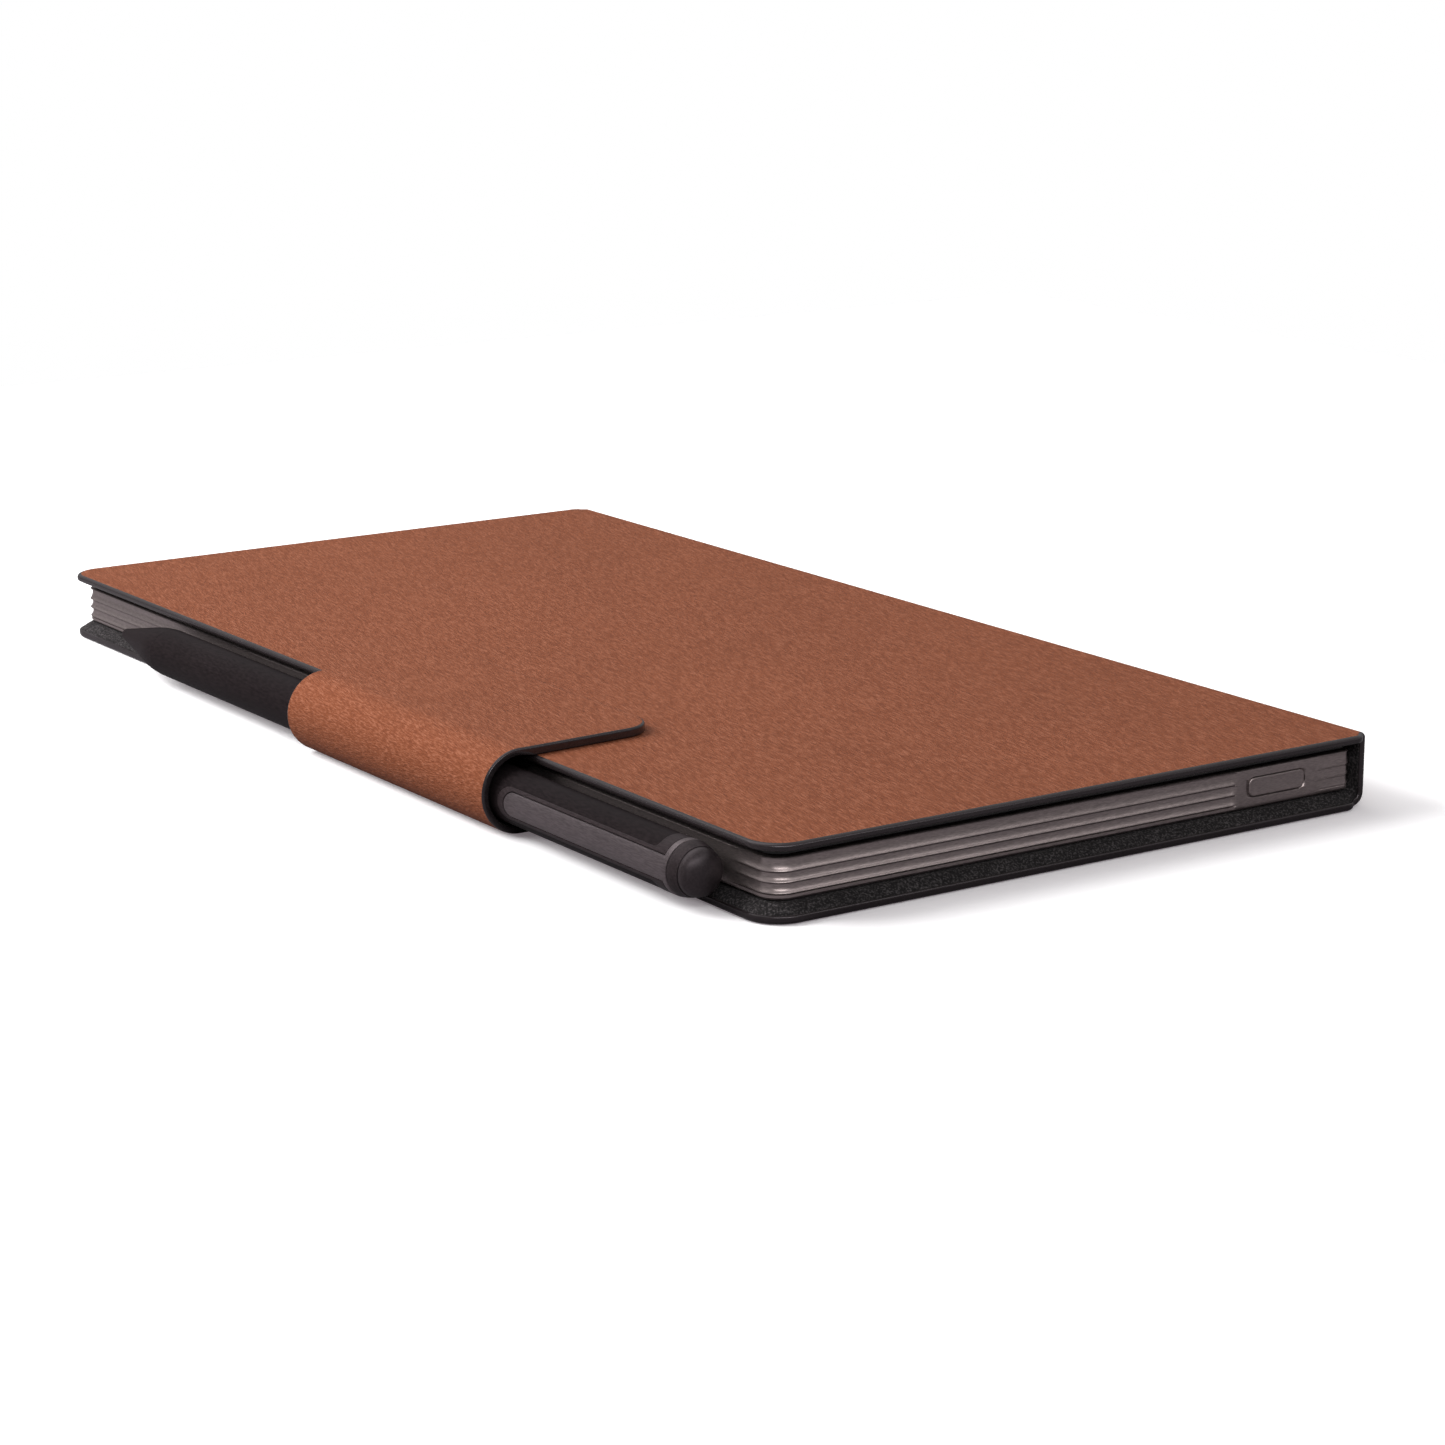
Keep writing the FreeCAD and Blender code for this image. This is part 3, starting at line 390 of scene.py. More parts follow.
cap_grey = surface("cap_satin", greys(0.021, 0.028, 0.036, 0.24), (0.3, 0.3, 0.3),
                   (0.38, 0.46), bump=0.12, relief=0.01, patch=(5.0, 5.0, 5.0),
                   Specular_IOR_Level=0.15, Specular_Tint=COOL_TINT)
dome_soft = surface("soft_dome", greys(0.021, 0.027, 0.034, 0.22), (0.35, 0.35, 0.35),
                    (0.34, 0.44), bump=0.15, relief=0.01, patch=(4.0, 4.0, 4.0),
                    Specular_IOR_Level=0.45, Specular_Tint=COOL_TINT)
nib_black = surface("nib_plastic", greys(0.015, 0.022, 0.03), (0.2, 0.4, 0.2), (0.35, 0.5),
                    patch=(2.0, 2.0, 2.0))
paper = surface("paper_screen", greys(0.50, 0.54, 0.58, 0.01), (0.12, 0.12, 0.12),
                (0.62, 0.75), bump=0.1, relief=0.01, patch=(60.0, 60.0, 60.0),
                patch_share=0.05)
clear_lens = surface("matte_lens", greys(0.93, 0.95, 0.97), (0.1, 0.1, 0.1), (0.22, 0.30),
                     bump=0.08, relief=0.005, Transmission_Weight=1.0, IOR=1.45)
steel = surface("steel", greys(0.42, 0.50, 0.58, 0.02), (0.2, 1.6, 0.2), (0.25, 0.4),
                bump=0.1, relief=0.01, patch=(8.0, 8.0, 8.0), Metallic=1.0)
magnet_metal = surface("nickel_magnet", greys(0.50, 0.58, 0.66, 0.01), (0.6, 0.6, 0.6),
                       (0.18, 0.3), patch=(5.0, 5.0, 5.0), Metallic=1.0)
grey_board = surface("grey_board", greys(0.24, 0.30, 0.38, 0.05), (0.3, 0.8, 0.3),
                     (0.8, 0.92), bump=0.4, relief=0.04, patch=(12.0, 12.0, 12.0))
green_board = surface("circuit_board", ((0.008, 0.05, 0.025), (0.012, 0.08, 0.04),
                                        (0.03, 0.13, 0.07)), (1.1, 1.1, 1.1),
                      (0.35, 0.5), patch=(6.0, 6.0, 6.0))
component_black = surface("component_black", greys(0.012, 0.02, 0.03), (0.4, 0.4, 0.4),
                          (0.45, 0.6), patch=(3.0, 3.0, 3.0))
amber_film = surface("flex_film", ((0.20, 0.085, 0.01), (0.30, 0.13, 0.02),
                                   (0.38, 0.19, 0.04)), (0.8, 3.0, 0.8), (0.3, 0.42))
cell_wrap = surface("cell_wrap", greys(0.30, 0.36, 0.42, 0.02), (1.5, 1.5, 1.5),
                    (0.4, 0.55), bump=0.3, relief=0.03, patch=(20.0, 20.0, 20.0),
                    Metallic=0.4)
copper = surface("copper_wire", ((0.40, 0.13, 0.05), (0.58, 0.22, 0.10),
                                 (0.72, 0.34, 0.18)), (0.3, 0.12, 0.3), (0.25, 0.4),
                 bump=0.5, relief=0.03, Metallic=1.0)
ferrite_grey = surface("ferrite", greys(0.03, 0.045, 0.06), (0.2, 0.2, 0.2), (0.6, 0.75))
led_white = surface("led_white", greys(0.62, 0.70, 0.78), (0.8, 0.8, 0.8), (0.3, 0.45),
                    patch=(6.0, 6.0, 6.0))
glue_black = surface("adhesive_sheet", greys(0.008, 0.012, 0.018), (0.5, 0.5, 0.5),
                     (0.7, 0.85), patch=(10.0, 10.0, 10.0))

NODE_MATERIALS = {
    suede: ("back_cover_pad", "front_cover_lining", "spine_lining", "strap_wrap_lining",
            "strap_tab_lining"),
    brown: ("back_cover_leather", "front_cover_leather", "spine_leather", "crease_lower",
            "crease_upper", "strap_wrap_leather", "strap_tab_leather", "strap_crease"),
    grey_board: ("back_cover_board", "front_cover_board", "spine_board"),
    glue_black: ("mounting_sheet",),
    gunmetal: ("chassis", "power_button"),
    steel: ("rear_plate", "rear_plate_screws", "mid_plate", "strap_keeper", "shield_cans",
            "usb_c_socket", "pen_button_spring"),
    magnet_metal: ("cover_magnets", "strap_magnet", "pen_magnets", "closure_magnets",
                   "pen_magnet"),
    green_board: ("main_board", "battery_board", "pen_circuit_board", "digitizer"),
    component_black: ("hall_sensor", "microphone", "speakers", "antenna_strip",
                      "power_switch", "usb_tongue", "pen_pressure_sensor"),
    amber_film: ("display_flex",),
    cell_wrap: ("battery_upper", "battery_lower"),
    paper: ("epaper_panel",),
    clear_lens: ("light_guide", "cover_lens"),
    led_white: ("led_strip",),
    frame_black: ("display_bezel",),
    pen_dark: ("pen_sleeve", "pen_nose"),
    pen_metal: ("pen_core", "pen_tongue"),
    cap_grey: ("pen_cap_ring",),
    dome_soft: ("pen_end_button",),
    nib_black: ("pen_nib",),
    copper: ("pen_coil",),
    ferrite_grey: ("pen_ferrite",),
}

for material, nodes in NODE_MATERIALS.items():
    for node in nodes:
        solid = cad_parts[node]
        if not solid.material_slots:
            solid.data.materials.append(material)
        for slot in solid.material_slots:
            slot.material = material


# ------------ folio covers

LEATHER, PAINT, LINING = 0, 1, 2
FOLIO_MATERIALS = (brown, painted, suede)

# Roundings of the painted edges, top then foot, each as (inwards, down).
FRONT_EDGE = ((0.75, 0.55), (0.32, 0.4))
BACK_EDGE = ((0.9, 0.62), (0.34, 0.3))
STRAP_EDGE = ((0.4, 0.32), (0.12, 0.12))
PAINT_STEP = 0.012

SHOULDER_RUN = 1.6
SHOULDER_R = 2.2
NECK_RUN = 0.1
NECK_R = 1.4


def cover_corners(crease_at, end_at):
    """Fore-edge corners are round; at the spine the cover narrows to the spine's length."""
    wide, narrow = END_Y, SPINE_END_Y
    shoulder, neck = crease_at - SHOULDER_RUN, crease_at + NECK_RUN
    return [(0.0, -wide, CORNER_R), (shoulder, -wide, SHOULDER_R), (neck, -narrow, NECK_R),
            (end_at, -narrow, 0.0), (end_at, narrow, 0.0), (neck, narrow, NECK_R),
            (shoulder, wide, SHOULDER_R), (0.0, wide, CORNER_R)]


def painted_profile(thickness, top_round, foot_round):
    """Leather face, then a rounded painted edge down to the lining side. The paint sits a
    small step below the leather."""
    rows = [(top_round[0] + 0.02, 0.0, LEATHER)]
    for angle in (0.0, 18.0, 36.0, 54.0, 72.0, 90.0):
        turn = math.radians(angle)
        rows.append((top_round[0] * (1.0 - math.sin(turn)),
                     PAINT_STEP + top_round[1] * (1.0 - math.cos(turn)), PAINT))
    for angle in (90.0, 65.0, 40.0, 20.0):
        turn = math.radians(angle)
        rows.append((foot_round[0] * (1.0 - math.sin(turn)),
                     thickness - foot_round[1] * (1.0 - math.cos(turn)), PAINT))
    rows.append((foot_round[0], thickness, LINING))
    return constant(rows)


def sheet_profile(thickness, inset):
    """Softened edge of a lining sheet that ends `inset` inside the outline."""
    return constant([(inset + 0.12, thickness, 0), (inset + 0.04, thickness * 0.85, 0),
                     (inset, thickness * 0.5, 0), (inset, 0.0, 0)])


def make_front():
    thickness = COVER_TOP - COVER_UNDER
    radius = COVER_TOP - TOP_CREASE_Z
    outer, _, starts = route([
        line((FORE_X, COVER_TOP), (TOP_CREASE_X, COVER_TOP)),
        arc((TOP_CREASE_X, TOP_CREASE_Z), (radius, radius), 90.0, 180.0),
        line((SPINE_X, TOP_CREASE_Z), (SPINE_X, LEATHER_SEAM_Z - SEAM_OVERRUN))])
    end_at = starts[2] + TOP_CREASE_Z - LEATHER_SEAM_Z

    def inner(u):
        place = outer(u)
        return Vector((max(place.x, SPINE_INNER_X), min(place.y, COVER_UNDER)))

    bends = steps_between(starts[1] - 0.4, starts[2], 12)
    bends += [starts[2] + TOP_CREASE_Z - COVER_UNDER, starts[2] + 3.0]
    leather = plate("leather_front", cover_corners(starts[1], end_at + OUTLINE_SPARE),
                    painted_profile(thickness, *FRONT_EDGE),
                    ruled(outer, inner, thickness), FOLIO_MATERIALS,
                    cuts=[(0, u) for u in bends], clips=[(0, end_at, 1, True)])
    finish_fold(leather,
                ("front_cover_leather", "crease_upper", "spine_leather"))

    def under_cover(level, wall_x, bend, lengths=None):
        """Along the cover's underside, round a bend and down the spine."""
        return route([
            line((FORE_X, level), (wall_x + bend, level)),
            arc((wall_x + bend, level - bend), (bend, bend), 90.0, 180.0),
            line((wall_x, level - bend), (wall_x, LINING_SEAM_Z - SEAM_OVERRUN))], lengths)

    sunk, proud, hidden_bend, face_bend = 0.08, 0.05, 0.28, 0.22
    base, lengths, starts = under_cover(COVER_UNDER + sunk, SPINE_INNER_X - sunk, hidden_bend)
    face, _, _ = under_cover(COVER_UNDER - proud, SPINE_INNER_X + sunk, face_bend, lengths)
    end_at = starts[2] + COVER_UNDER + sunk - hidden_bend - LINING_SEAM_Z
    lining = plate("lining_front", cover_corners(starts[1] - 0.6, end_at + OUTLINE_SPARE),
                   sheet_profile(sunk + proud, 0.43), ruled(base, face, sunk + proud),
                   (suede,), cuts=[(0, u) for u in steps_between(starts[1], starts[2], 5)],
                   clips=[(0, end_at, 1, True)])
    finish_fold(lining,
                ("front_cover_lining", "spine_lining"))


# The pad's domed edge, from its top face out to its foot: inset, share of its thickness.
PAD_SLOPE = ((2.95, 1.0), (2.65, 0.985), (2.35, 0.93), (2.0, 0.83), (1.5, 0.65), (1.0, 0.45),
             (0.72, 0.33), (0.58, 0.24), (0.50, 0.12), (0.48, 0.0))
PAD_SUNK = 0.25
PAD_BEND = 1.2
PAD_HIDDEN_REACH = 1.25
PAD_FACE_REACH = 1.12
PAD_TURN_Z = 2.5
PAD_OVERRUN = 4.0
# At the spine the pad's outline runs in softer: corner, shift along the route, radius.
PAD_CORNERS = ((1, -4.0, 12.0), (2, 2.0, 6.0), (5, 2.0, 6.0), (6, -4.0, 12.0))


def make_back():
    radius = LOW_CREASE_Z
    seam_end = LEATHER_SEAM_Z + SEAM_OVERRUN
    outer, lengths, starts = route([
        line((FORE_X, 0.0), (LOW_CREASE_X, 0.0)),
        arc((LOW_CREASE_X, LOW_CREASE_Z), (radius, radius), 270.0, 180.0),
        line((SPINE_X, LOW_CREASE_Z), (SPINE_X, seam_end))])
    inner, _, _ = route([
        line((FORE_X, RIM_TOP), (LOW_CREASE_X, RIM_TOP)),
        arc((LOW_CREASE_X, LOW_CREASE_Z),
            (LOW_CREASE_X - SPINE_INNER_X, LOW_CREASE_Z - RIM_TOP), 270.0, 180.0),
        line((SPINE_INNER_X, LOW_CREASE_Z), (SPINE_INNER_X, seam_end))], lengths)
    end_at = starts[2] + LEATHER_SEAM_Z - LOW_CREASE_Z
    leather = plate("leather_back", cover_corners(starts[1], end_at + OUTLINE_SPARE),
                    painted_profile(RIM_TOP, *BACK_EDGE),
                    ruled(outer, inner, RIM_TOP), FOLIO_MATERIALS,
                    cuts=[(0, u) for u in steps_between(starts[1], starts[2], 14)],
                    clips=[(0, end_at, 1, True)])
    finish_fold(leather,
                ("back_cover_leather", "crease_lower"))

    fillet_z = PAD_TOP + PAD_BEND
    bend_x = SPINE_INNER_X + PAD_BEND
    low = RIM_TOP - PAD_SUNK
    hidden_x, face_x = bend_x - PAD_HIDDEN_REACH, bend_x - PAD_FACE_REACH
    end_z = fillet_z + PAD_OVERRUN
    fillet = (PAD_FACE_REACH, PAD_BEND)
    base, lengths, starts = route([
        line((FORE_X, low), (bend_x, low)),
        arc((bend_x, PAD_TURN_Z), (PAD_HIDDEN_REACH, PAD_TURN_Z - low), 270.0, 180.0),
        line((hidden_x, PAD_TURN_Z), (hidden_x, fillet_z)),
        line((hidden_x, fillet_z), (hidden_x, end_z))])
    face, _, _ = route([
        line((FORE_X, PAD_TOP), (bend_x, PAD_TOP)),
        arc((bend_x, fillet_z), fillet, 270.0, 220.0),
        arc((bend_x, fillet_z), fillet, 220.0, 180.0),
        line((face_x, fillet_z), (face_x, end_z))], lengths)
    end_at = starts[3] + LINING_SEAM_Z - fillet_z
    deep = PAD_TOP - low
    corners = cover_corners(starts[1] - PAD_OVERRUN, end_at + PAD_OVERRUN)
    for index, shift, corner_r in PAD_CORNERS:
        u, v, _ = corners[index]
        corners[index] = (u + shift, v, corner_r)
    pad = plate("lining_back", corners,
                constant([(inset, deep * share, 0) for inset, share in PAD_SLOPE]),
                ruled(base, face, deep), (suede,),
                cuts=[(0, u) for u in steps_between(starts[1], starts[3], 14)],
                clips=[(0, end_at, 1, True)], sharp=70.0)
    finish_fold(pad, ("back_cover_pad",))


def finish_fold(piece, nodes):
    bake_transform(piece)
    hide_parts(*nodes)


# ------------ strap

TAB_CORNER_R = 6.0
TAB_NARROWING = 1.4
TAB_SHOULDER_R = 30.0
TAB_RISE = 1.4
STRAP_FOOT_GAP = 0.06
STRAP_FOOT_CUT = 0.7
STRAP_LINING_CUT = 0.9
STRAP_LINING_T = 0.11


def make_strap():
    radius = wrap_high.z / 2
    centre_x = wrap_high.x - radius
    foot_x = FORE_X + STRAP_FOOT_GAP
    tab_under = tab_low.z - wrap_low.z

    def strap_route(inset, tab_z, lengths=None):
        """Out along the floor, round the pen and in over the front cover."""
        reach = radius - inset
        rise_x = tab_high.x - TAB_RISE
        return route([
            line((foot_x, inset), (centre_x, inset)),
            arc((centre_x, radius), (reach, reach), -90.0, 90.0),
            line((centre_x, 2 * radius - inset), (rise_x, tab_z)),
            line((rise_x, tab_z), (tab_low.x, tab_z))], lengths)

    outer, lengths, starts = strap_route(0.0, wrap_high.z)
    inner, _, _ = strap_route(STRAP_T, tab_under, lengths)
    end_at = starts[2] + centre_x - tab_low.x
    tab_at = starts[2] + centre_x - tab_high.x
    low, high = wrap_low.y, wrap_high.y
    corners = [(0.0, low, 0.0), (tab_at, low, TAB_SHOULDER_R),
               (end_at, low + TAB_NARROWING, TAB_CORNER_R),
               (end_at, high - TAB_NARROWING, TAB_CORNER_R), (tab_at, high, TAB_SHOULDER_R),
               (0.0, high, 0.0)]
    bends = steps_between(starts[1], starts[2], 44) + steps_between(starts[2], starts[3], 6)[1:]
    strap = plate("strap_leather", corners, painted_profile(STRAP_T, *STRAP_EDGE),
                  ruled(outer, inner, STRAP_T), FOLIO_MATERIALS,
                  cuts=[(0, u) for u in bends], clips=[(0, STRAP_FOOT_CUT, -1, True)])
    finish_fold(strap,
                ("strap_wrap_leather", "strap_crease", "strap_tab_leather"))

    base, _, _ = strap_route(STRAP_T - 0.06, tab_under + 0.06, lengths)
    face, _, _ = strap_route(STRAP_T + 0.05, tab_under - 0.03, lengths)
    lining = plate("strap_lining", corners, sheet_profile(STRAP_LINING_T, 0.38),
                   ruled(base, face, STRAP_LINING_T), (suede,),
                   cuts=[(0, u) for u in bends], clips=[(0, STRAP_LINING_CUT, -1, True)])
    finish_fold(lining,
                ("strap_wrap_lining", "strap_tab_lining"))


# ------------ tablet

NOTCHES = (0.15, 0.39, 0.63)
LIP_DEPTH = 0.46
RIM_DROP = 0.35
FORE_GROOVE_END_Y = 107.0
GROOVE_END_X = -32.6
PLAIN_END_X = -49.7
SHELL_CORNERS = (3.9, 1.6)
BEZEL_CORNERS = (3.1, 0.8)
FLARE_STEPS = 10
FLARE_POWER = 3.2
RIM_INNER = 2.2
KEY_GAP = 0.12
KEY_R = 1.1
PORT_GAP = 0.08
CUT_SHARP = 34.0
FAINT_GROOVE = 0.2
CORNER_GROOVE = 0.4


def smooth(value, start, end):
    share = min(1.0, max(0.0, (value - start) / (end - start)))
    return share * share * (3.0 - 2.0 * share)


def dense_outline(low, high, radii, stations, step=1.2):
    """Rounded rectangle with points along its straight runs as well."""
    far, near = radii
    corners = [(low.x, low.y, near), (high.x, low.y, far), (high.x, high.y, far),
               (low.x, high.y, near)]
    ring = rounded_outline(corners, arc_step=3.0)
    filled = []
    for index, (point, inward) in enumerate(ring):
        following = ring[(index + 1) % len(ring)][0]
        filled.append((point, inward))
        run = following - point
        if run.length < 4.0:
            continue
        places = {round(run.length * share / math.ceil(run.length / step), 3)
                  for share in range(1, math.ceil(run.length / step))}
        if abs(point.y - high.y) < 1e-3 and abs(following.y - high.y) < 1e-3:
            places |= {round(point.x - x, 3) for x in stations}
        for place in sorted(places):
            if 0.05 < place < run.length - 0.05:
                filled.append((point + run.normalized() * place, inward))
    return filled


def sweep_ring(name, ring, section, materials, body, sharp=50.0):
    """Closed section carried round a closed outline; rows are (inset, height, material)."""
    mesh = bmesh.new()
    rows = []
    for point, inward in ring:
        rows.append([mesh.verts.new((*((point + inward * inset) * MM), height * MM))
                     for inset, height, _ in section(point)])
    bands = [material for _, _, material in section(ring[0][0])]
    for index, row in enumerate(rows):
        following = rows[(index + 1) % len(rows)]
        for band in range(len(row)):
            other = (band + 1) % len(row)
            face = mesh.faces.new((row[band], following[band], following[other], row[other]))
            face.material_index = bands[band]
    return new_piece(name, mesh, materials, body, sharp)


def groove_share(point):
    """How deep the page-like grooves are at a place on the tablet's side."""
    on_end = point.y > shell_high.y - 0.5
    on_fore = point.x > shell_high.x - 0.5
    if on_fore:
        near = smooth(point.y, FORE_GROOVE_END_Y, FORE_GROOVE_END_Y + 4.0)
        return max(near, smooth(-point.y, 40.0, 60.0))
    if not on_end:
        return 1.0
    leaving = smooth(point.x, GROOVE_END_X - 0.25, GROOVE_END_X + 1.1)
    faint = FAINT_GROOVE * smooth(-point.x, -PLAIN_END_X, -PLAIN_END_X + 2.0)
    back_in = CORNER_GROOVE * smooth(-point.x, -shell_low.x - 1.8, -shell_low.x - 0.4)
    fading = 0.85 + 0.15 * smooth(point.x, -20.0, 30.0)
    return max(leaving * fading, faint, back_in)


def shell_section(point):
    """The side from its foot up to its rim, then over and down inside."""
    depth = LIP_DEPTH * groove_share(point)
    low, high = shell_low.z, shell_high.z - RIM_DROP
    height = shell_high.z - low
    rows = [(0.62, low, 0), (0.46, low + 0.16, 0), (0.2 + 0.3 * depth, low + 0.28, 0),
            (0.30 * depth, low + 0.42, 0)]
    levels = [low + height * share for share in NOTCHES]
    rows.append((0.30 * depth, levels[0] - 0.2, 0))
    for index, level in enumerate(levels):
        top = levels[index + 1] if index + 1 < len(levels) else high - 0.18
        rows += [(0.55 * depth, level - 0.13, 0), (1.25 * depth, level - 0.1, 0),
                 (1.25 * depth, level - 0.03, 0), (0.22 * depth, level, 0),
                 (0.04 * depth, level + 0.04, 0), (0.0, level + 0.10, 0),
                 (0.04 * depth, level + 0.16, 0)]
        start, end = level + 0.16, top - 0.14
        for step in range(1, FLARE_STEPS + 1):
            share = step / FLARE_STEPS
            flare = 1.0 - (1.0 - share) ** FLARE_POWER
            rows.append((depth * (0.04 + 0.96 * flare), start + (end - start) * share, 0))
    rows += [(0.7 * depth, high - 0.26, 0), (0.3 * depth, high - 0.21, 0),
             (0.2 * depth + 0.02, high - 0.15, 0), (0.2 * depth + 0.08, high - 0.07, 0),
             (0.2 * depth + 0.2, high - 0.01, 0), (0.2 * depth + 0.34, high, 0),
             (RIM_INNER, high, 0), (RIM_INNER, low, 0)]
    return rows


def cut_away(piece, cutter):
    """Boolean difference, applied, and the cutter removed."""
    cut = piece.modifiers.new("cut", "BOOLEAN")
    cut.object = cutter
    cut.solver = "EXACT"
    piece.modifiers.move(len(piece.modifiers) - 1, 0)
    bpy.context.view_layer.update()
    kept = [modifier for modifier in piece.modifiers if modifier.name != "cut"]
    for modifier in kept:
        modifier.show_viewport = False
    graph = bpy.context.evaluated_depsgraph_get()
    result = bpy.data.meshes.new_from_object(piece.evaluated_get(graph))
    piece.modifiers.remove(cut)
    for modifier in kept:
        modifier.show_viewport = True
    result.shade_smooth()
    result.set_sharp_from_angle(angle=math.radians(CUT_SHARP))
    piece.data = result
    bpy.data.objects.remove(cutter)


def slot_corners(low, high, radius, margin=0.0):
    """Slot seen along Y: u is X and v is Z."""
    reach = radius + margin
    return [(low[0] - margin, low[1] - margin, reach), (high[0] + margin, low[1] - margin, reach),
            (high[0] + margin, high[1] + margin, reach),
            (low[0] - margin, high[1] + margin, reach)]


def facing_end(level, sign=1.0):
    """Carry (x, z, depth) onto a plane across Y, with depth going into the tablet."""
    return lambda u, v, depth: Vector((u, level - sign * depth, v))


def cut_slot(piece, name, corners, depth, carry):
    """Opening from 1 mm outside the end down to a depth."""
    cut_away(piece, plate(name, corners, constant([(0.0, -1.0, 0), (0.0, depth, 0)]), carry,
                          (gunmetal,)))


def make_shell_and_key():
    stations = [GROOVE_END_X - 0.6 + 0.12 * step for step in range(20)]
    stations += [PLAIN_END_X - 2.4 + 0.4 * step for step in range(7)]
    stations += [shell_low.x + 1.65 + 0.15 * step for step in range(5)]
    ring = dense_outline(shell_low, shell_high, SHELL_CORNERS, stations)
    shell = sweep_ring("tablet_shell", ring, shell_section, (gunmetal,), "case_back", sharp=30.0)

    low, high = (key_low.x, key_low.z), (key_high.x, key_high.z)
    cut_slot(shell, "key_cutter", slot_corners(low, high, KEY_R, KEY_GAP), 1.9,
             facing_end(shell_high.y))
    port_low, port_high = (socket_low.x, socket_low.z), (socket_high.x, socket_high.z)
    port_r = (socket_high.z - socket_low.z) / 2 - 0.05
    cut_slot(shell, "port_cutter", slot_corners(port_low, port_high, port_r, PORT_GAP), 5.0,
             facing_end(shell_low.y, -1.0))
    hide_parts("chassis")

    rows = [(0.9, 0.05, 0), (0.5, 0.03, 0), (0.3, 0.0, 0), (0.16, 0.02, 0), (0.06, 0.08, 0),
            (0.0, 0.2, 0), (0.0, 1.5, 0)]
    key = plate("power_key", slot_corners(low, high, KEY_R), constant(rows),
                facing_end(key_high.y), (gunmetal,), "power_button", sharp=60.0)
    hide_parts("power_button")


def make_bezel():
    outline = dense_outline(bezel_low, bezel_high, BEZEL_CORNERS, (), step=30.0)
    width = lens_low.x - bezel_low.x - 0.1

    def bezel_section(_):
        low_z, high_z = bezel_low.z, bezel_high.z
        return [(0.0, low_z, 0), (0.0, high_z - 0.34, 0), (0.06, high_z - 0.16, 0),
                (0.16, high_z - 0.05, 0), (0.34, high_z, 0), (width - 0.16, high_z, 0),
                (width - 0.05, high_z - 0.04, 0), (width, high_z - 0.14, 0),
                (width, low_z, 0)]
    bezel = sweep_ring("tablet_bezel", outline, bezel_section, (frame_black,), "case_back")
    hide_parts("display_bezel")


# ------------ pen

CLIP_AT = 5.3
CLIP_START_Y = 58.6
CLIP_END_Y = 104.0
CLIP_HALF = 2.02
CLIP_GAP = 0.14
TRIM_HALF = 2.83
TRIM_LEAD = 1.1
BAND_START_Y = 100.8
COLLAR_START_Y = 103.6
BARREL_R = PEN_R - 0.06
BORE_R = 2.8
CORE_BORE_R = 2.6
CAP_END_R = 3.95
TIP_R = 1.1
NOSE_SHOULDER = 2.6
NOSE_BLEND = 0.28
HALF_ROUND = math.pi * PEN_R
BEYOND = HALF_ROUND + 2.0
ROUND_ENDS = [(1, HALF_ROUND, 1, False), (1, -HALF_ROUND, -1, False)]
SPRING_WIRE_R = 0.2
SPRING_TURNS = 5
COIL_STEPS = 28
WIRE_SIDES = 10


def on_pen(u, v, depth):
    """Carry (place along the pen, distance round it, depth) onto the pen's surface."""
    angle = math.radians(CLIP_AT) + v / PEN_R
    radius = PEN_R - depth
    return Vector((PEN_X + radius * math.cos(angle), u, PEN_Z + radius * math.sin(angle)))


def lathe(name, rows, materials, body, sharp=35.0, turns=96):
    """Rows are (radius, place along the pen, material), from one end to the other."""
    mesh = bmesh.new()
    rings = []
    for radius, along, _ in rows:
        if radius == 0.0:
            rings.append([mesh.verts.new(Vector((PEN_X, along, PEN_Z)) * MM)] * turns)
            continue
        ring = []
        for turn in range(turns):
            angle = math.tau * turn / turns
            place = (PEN_X + radius * math.cos(angle), along, PEN_Z + radius * math.sin(angle))
            ring.append(mesh.verts.new(Vector(place) * MM))
        rings.append(ring)
    for (first, second), (_, _, material) in zip(zip(rings, rings[1:]), rows):
        for turn in range(turns):
            after = (turn + 1) % turns
            corners = [first[turn], first[after], second[after], second[turn]]
            face = mesh.faces.new(list(dict.fromkeys(corners)))
            face.material_index = material
    for ring in (rings[0], rings[-1]):
        if ring[0] is not ring[1]:
            mesh.faces.new(ring)
    return new_piece(name, mesh, materials, body, sharp)


def pen_plate(name, corners, rows, material, clips):
    """Plate bent round the pen."""
    cuts = [(1, v) for v in steps_between(-HALF_ROUND, HALF_ROUND, 80)[1:-1]]
    return plate(name, corners, constant(rows), on_pen, (material,), "pen", cuts=cuts,
                 clips=clips)


def make_barrel():
    notch = (CLIP_HALF + TRIM_HALF) / 2
    notch_end = CLIP_START_Y - (notch - CLIP_HALF)
    start_y = nose_high.y
    band_y = BAND_START_Y + 0.6
    corners = [(start_y - 2.0, -BEYOND, 0.0), (band_y, -BEYOND, 0.0),
               (band_y, -notch, 0.6), (notch_end, -notch, notch - 0.01),
               (notch_end, notch, notch - 0.01), (band_y, notch, 0.6),
               (band_y, BEYOND, 0.0), (start_y - 2.0, BEYOND, 0.0)]
    skin = PEN_R - BARREL_R
    barrel = pen_plate("pen_barrel", corners, [(0.0, skin, 0), (0.0, skin + 0.35, 0)], pen_dark,
                       [(0, start_y + 0.02, -1, True)] + ROUND_ENDS)
    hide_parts("pen_sleeve")


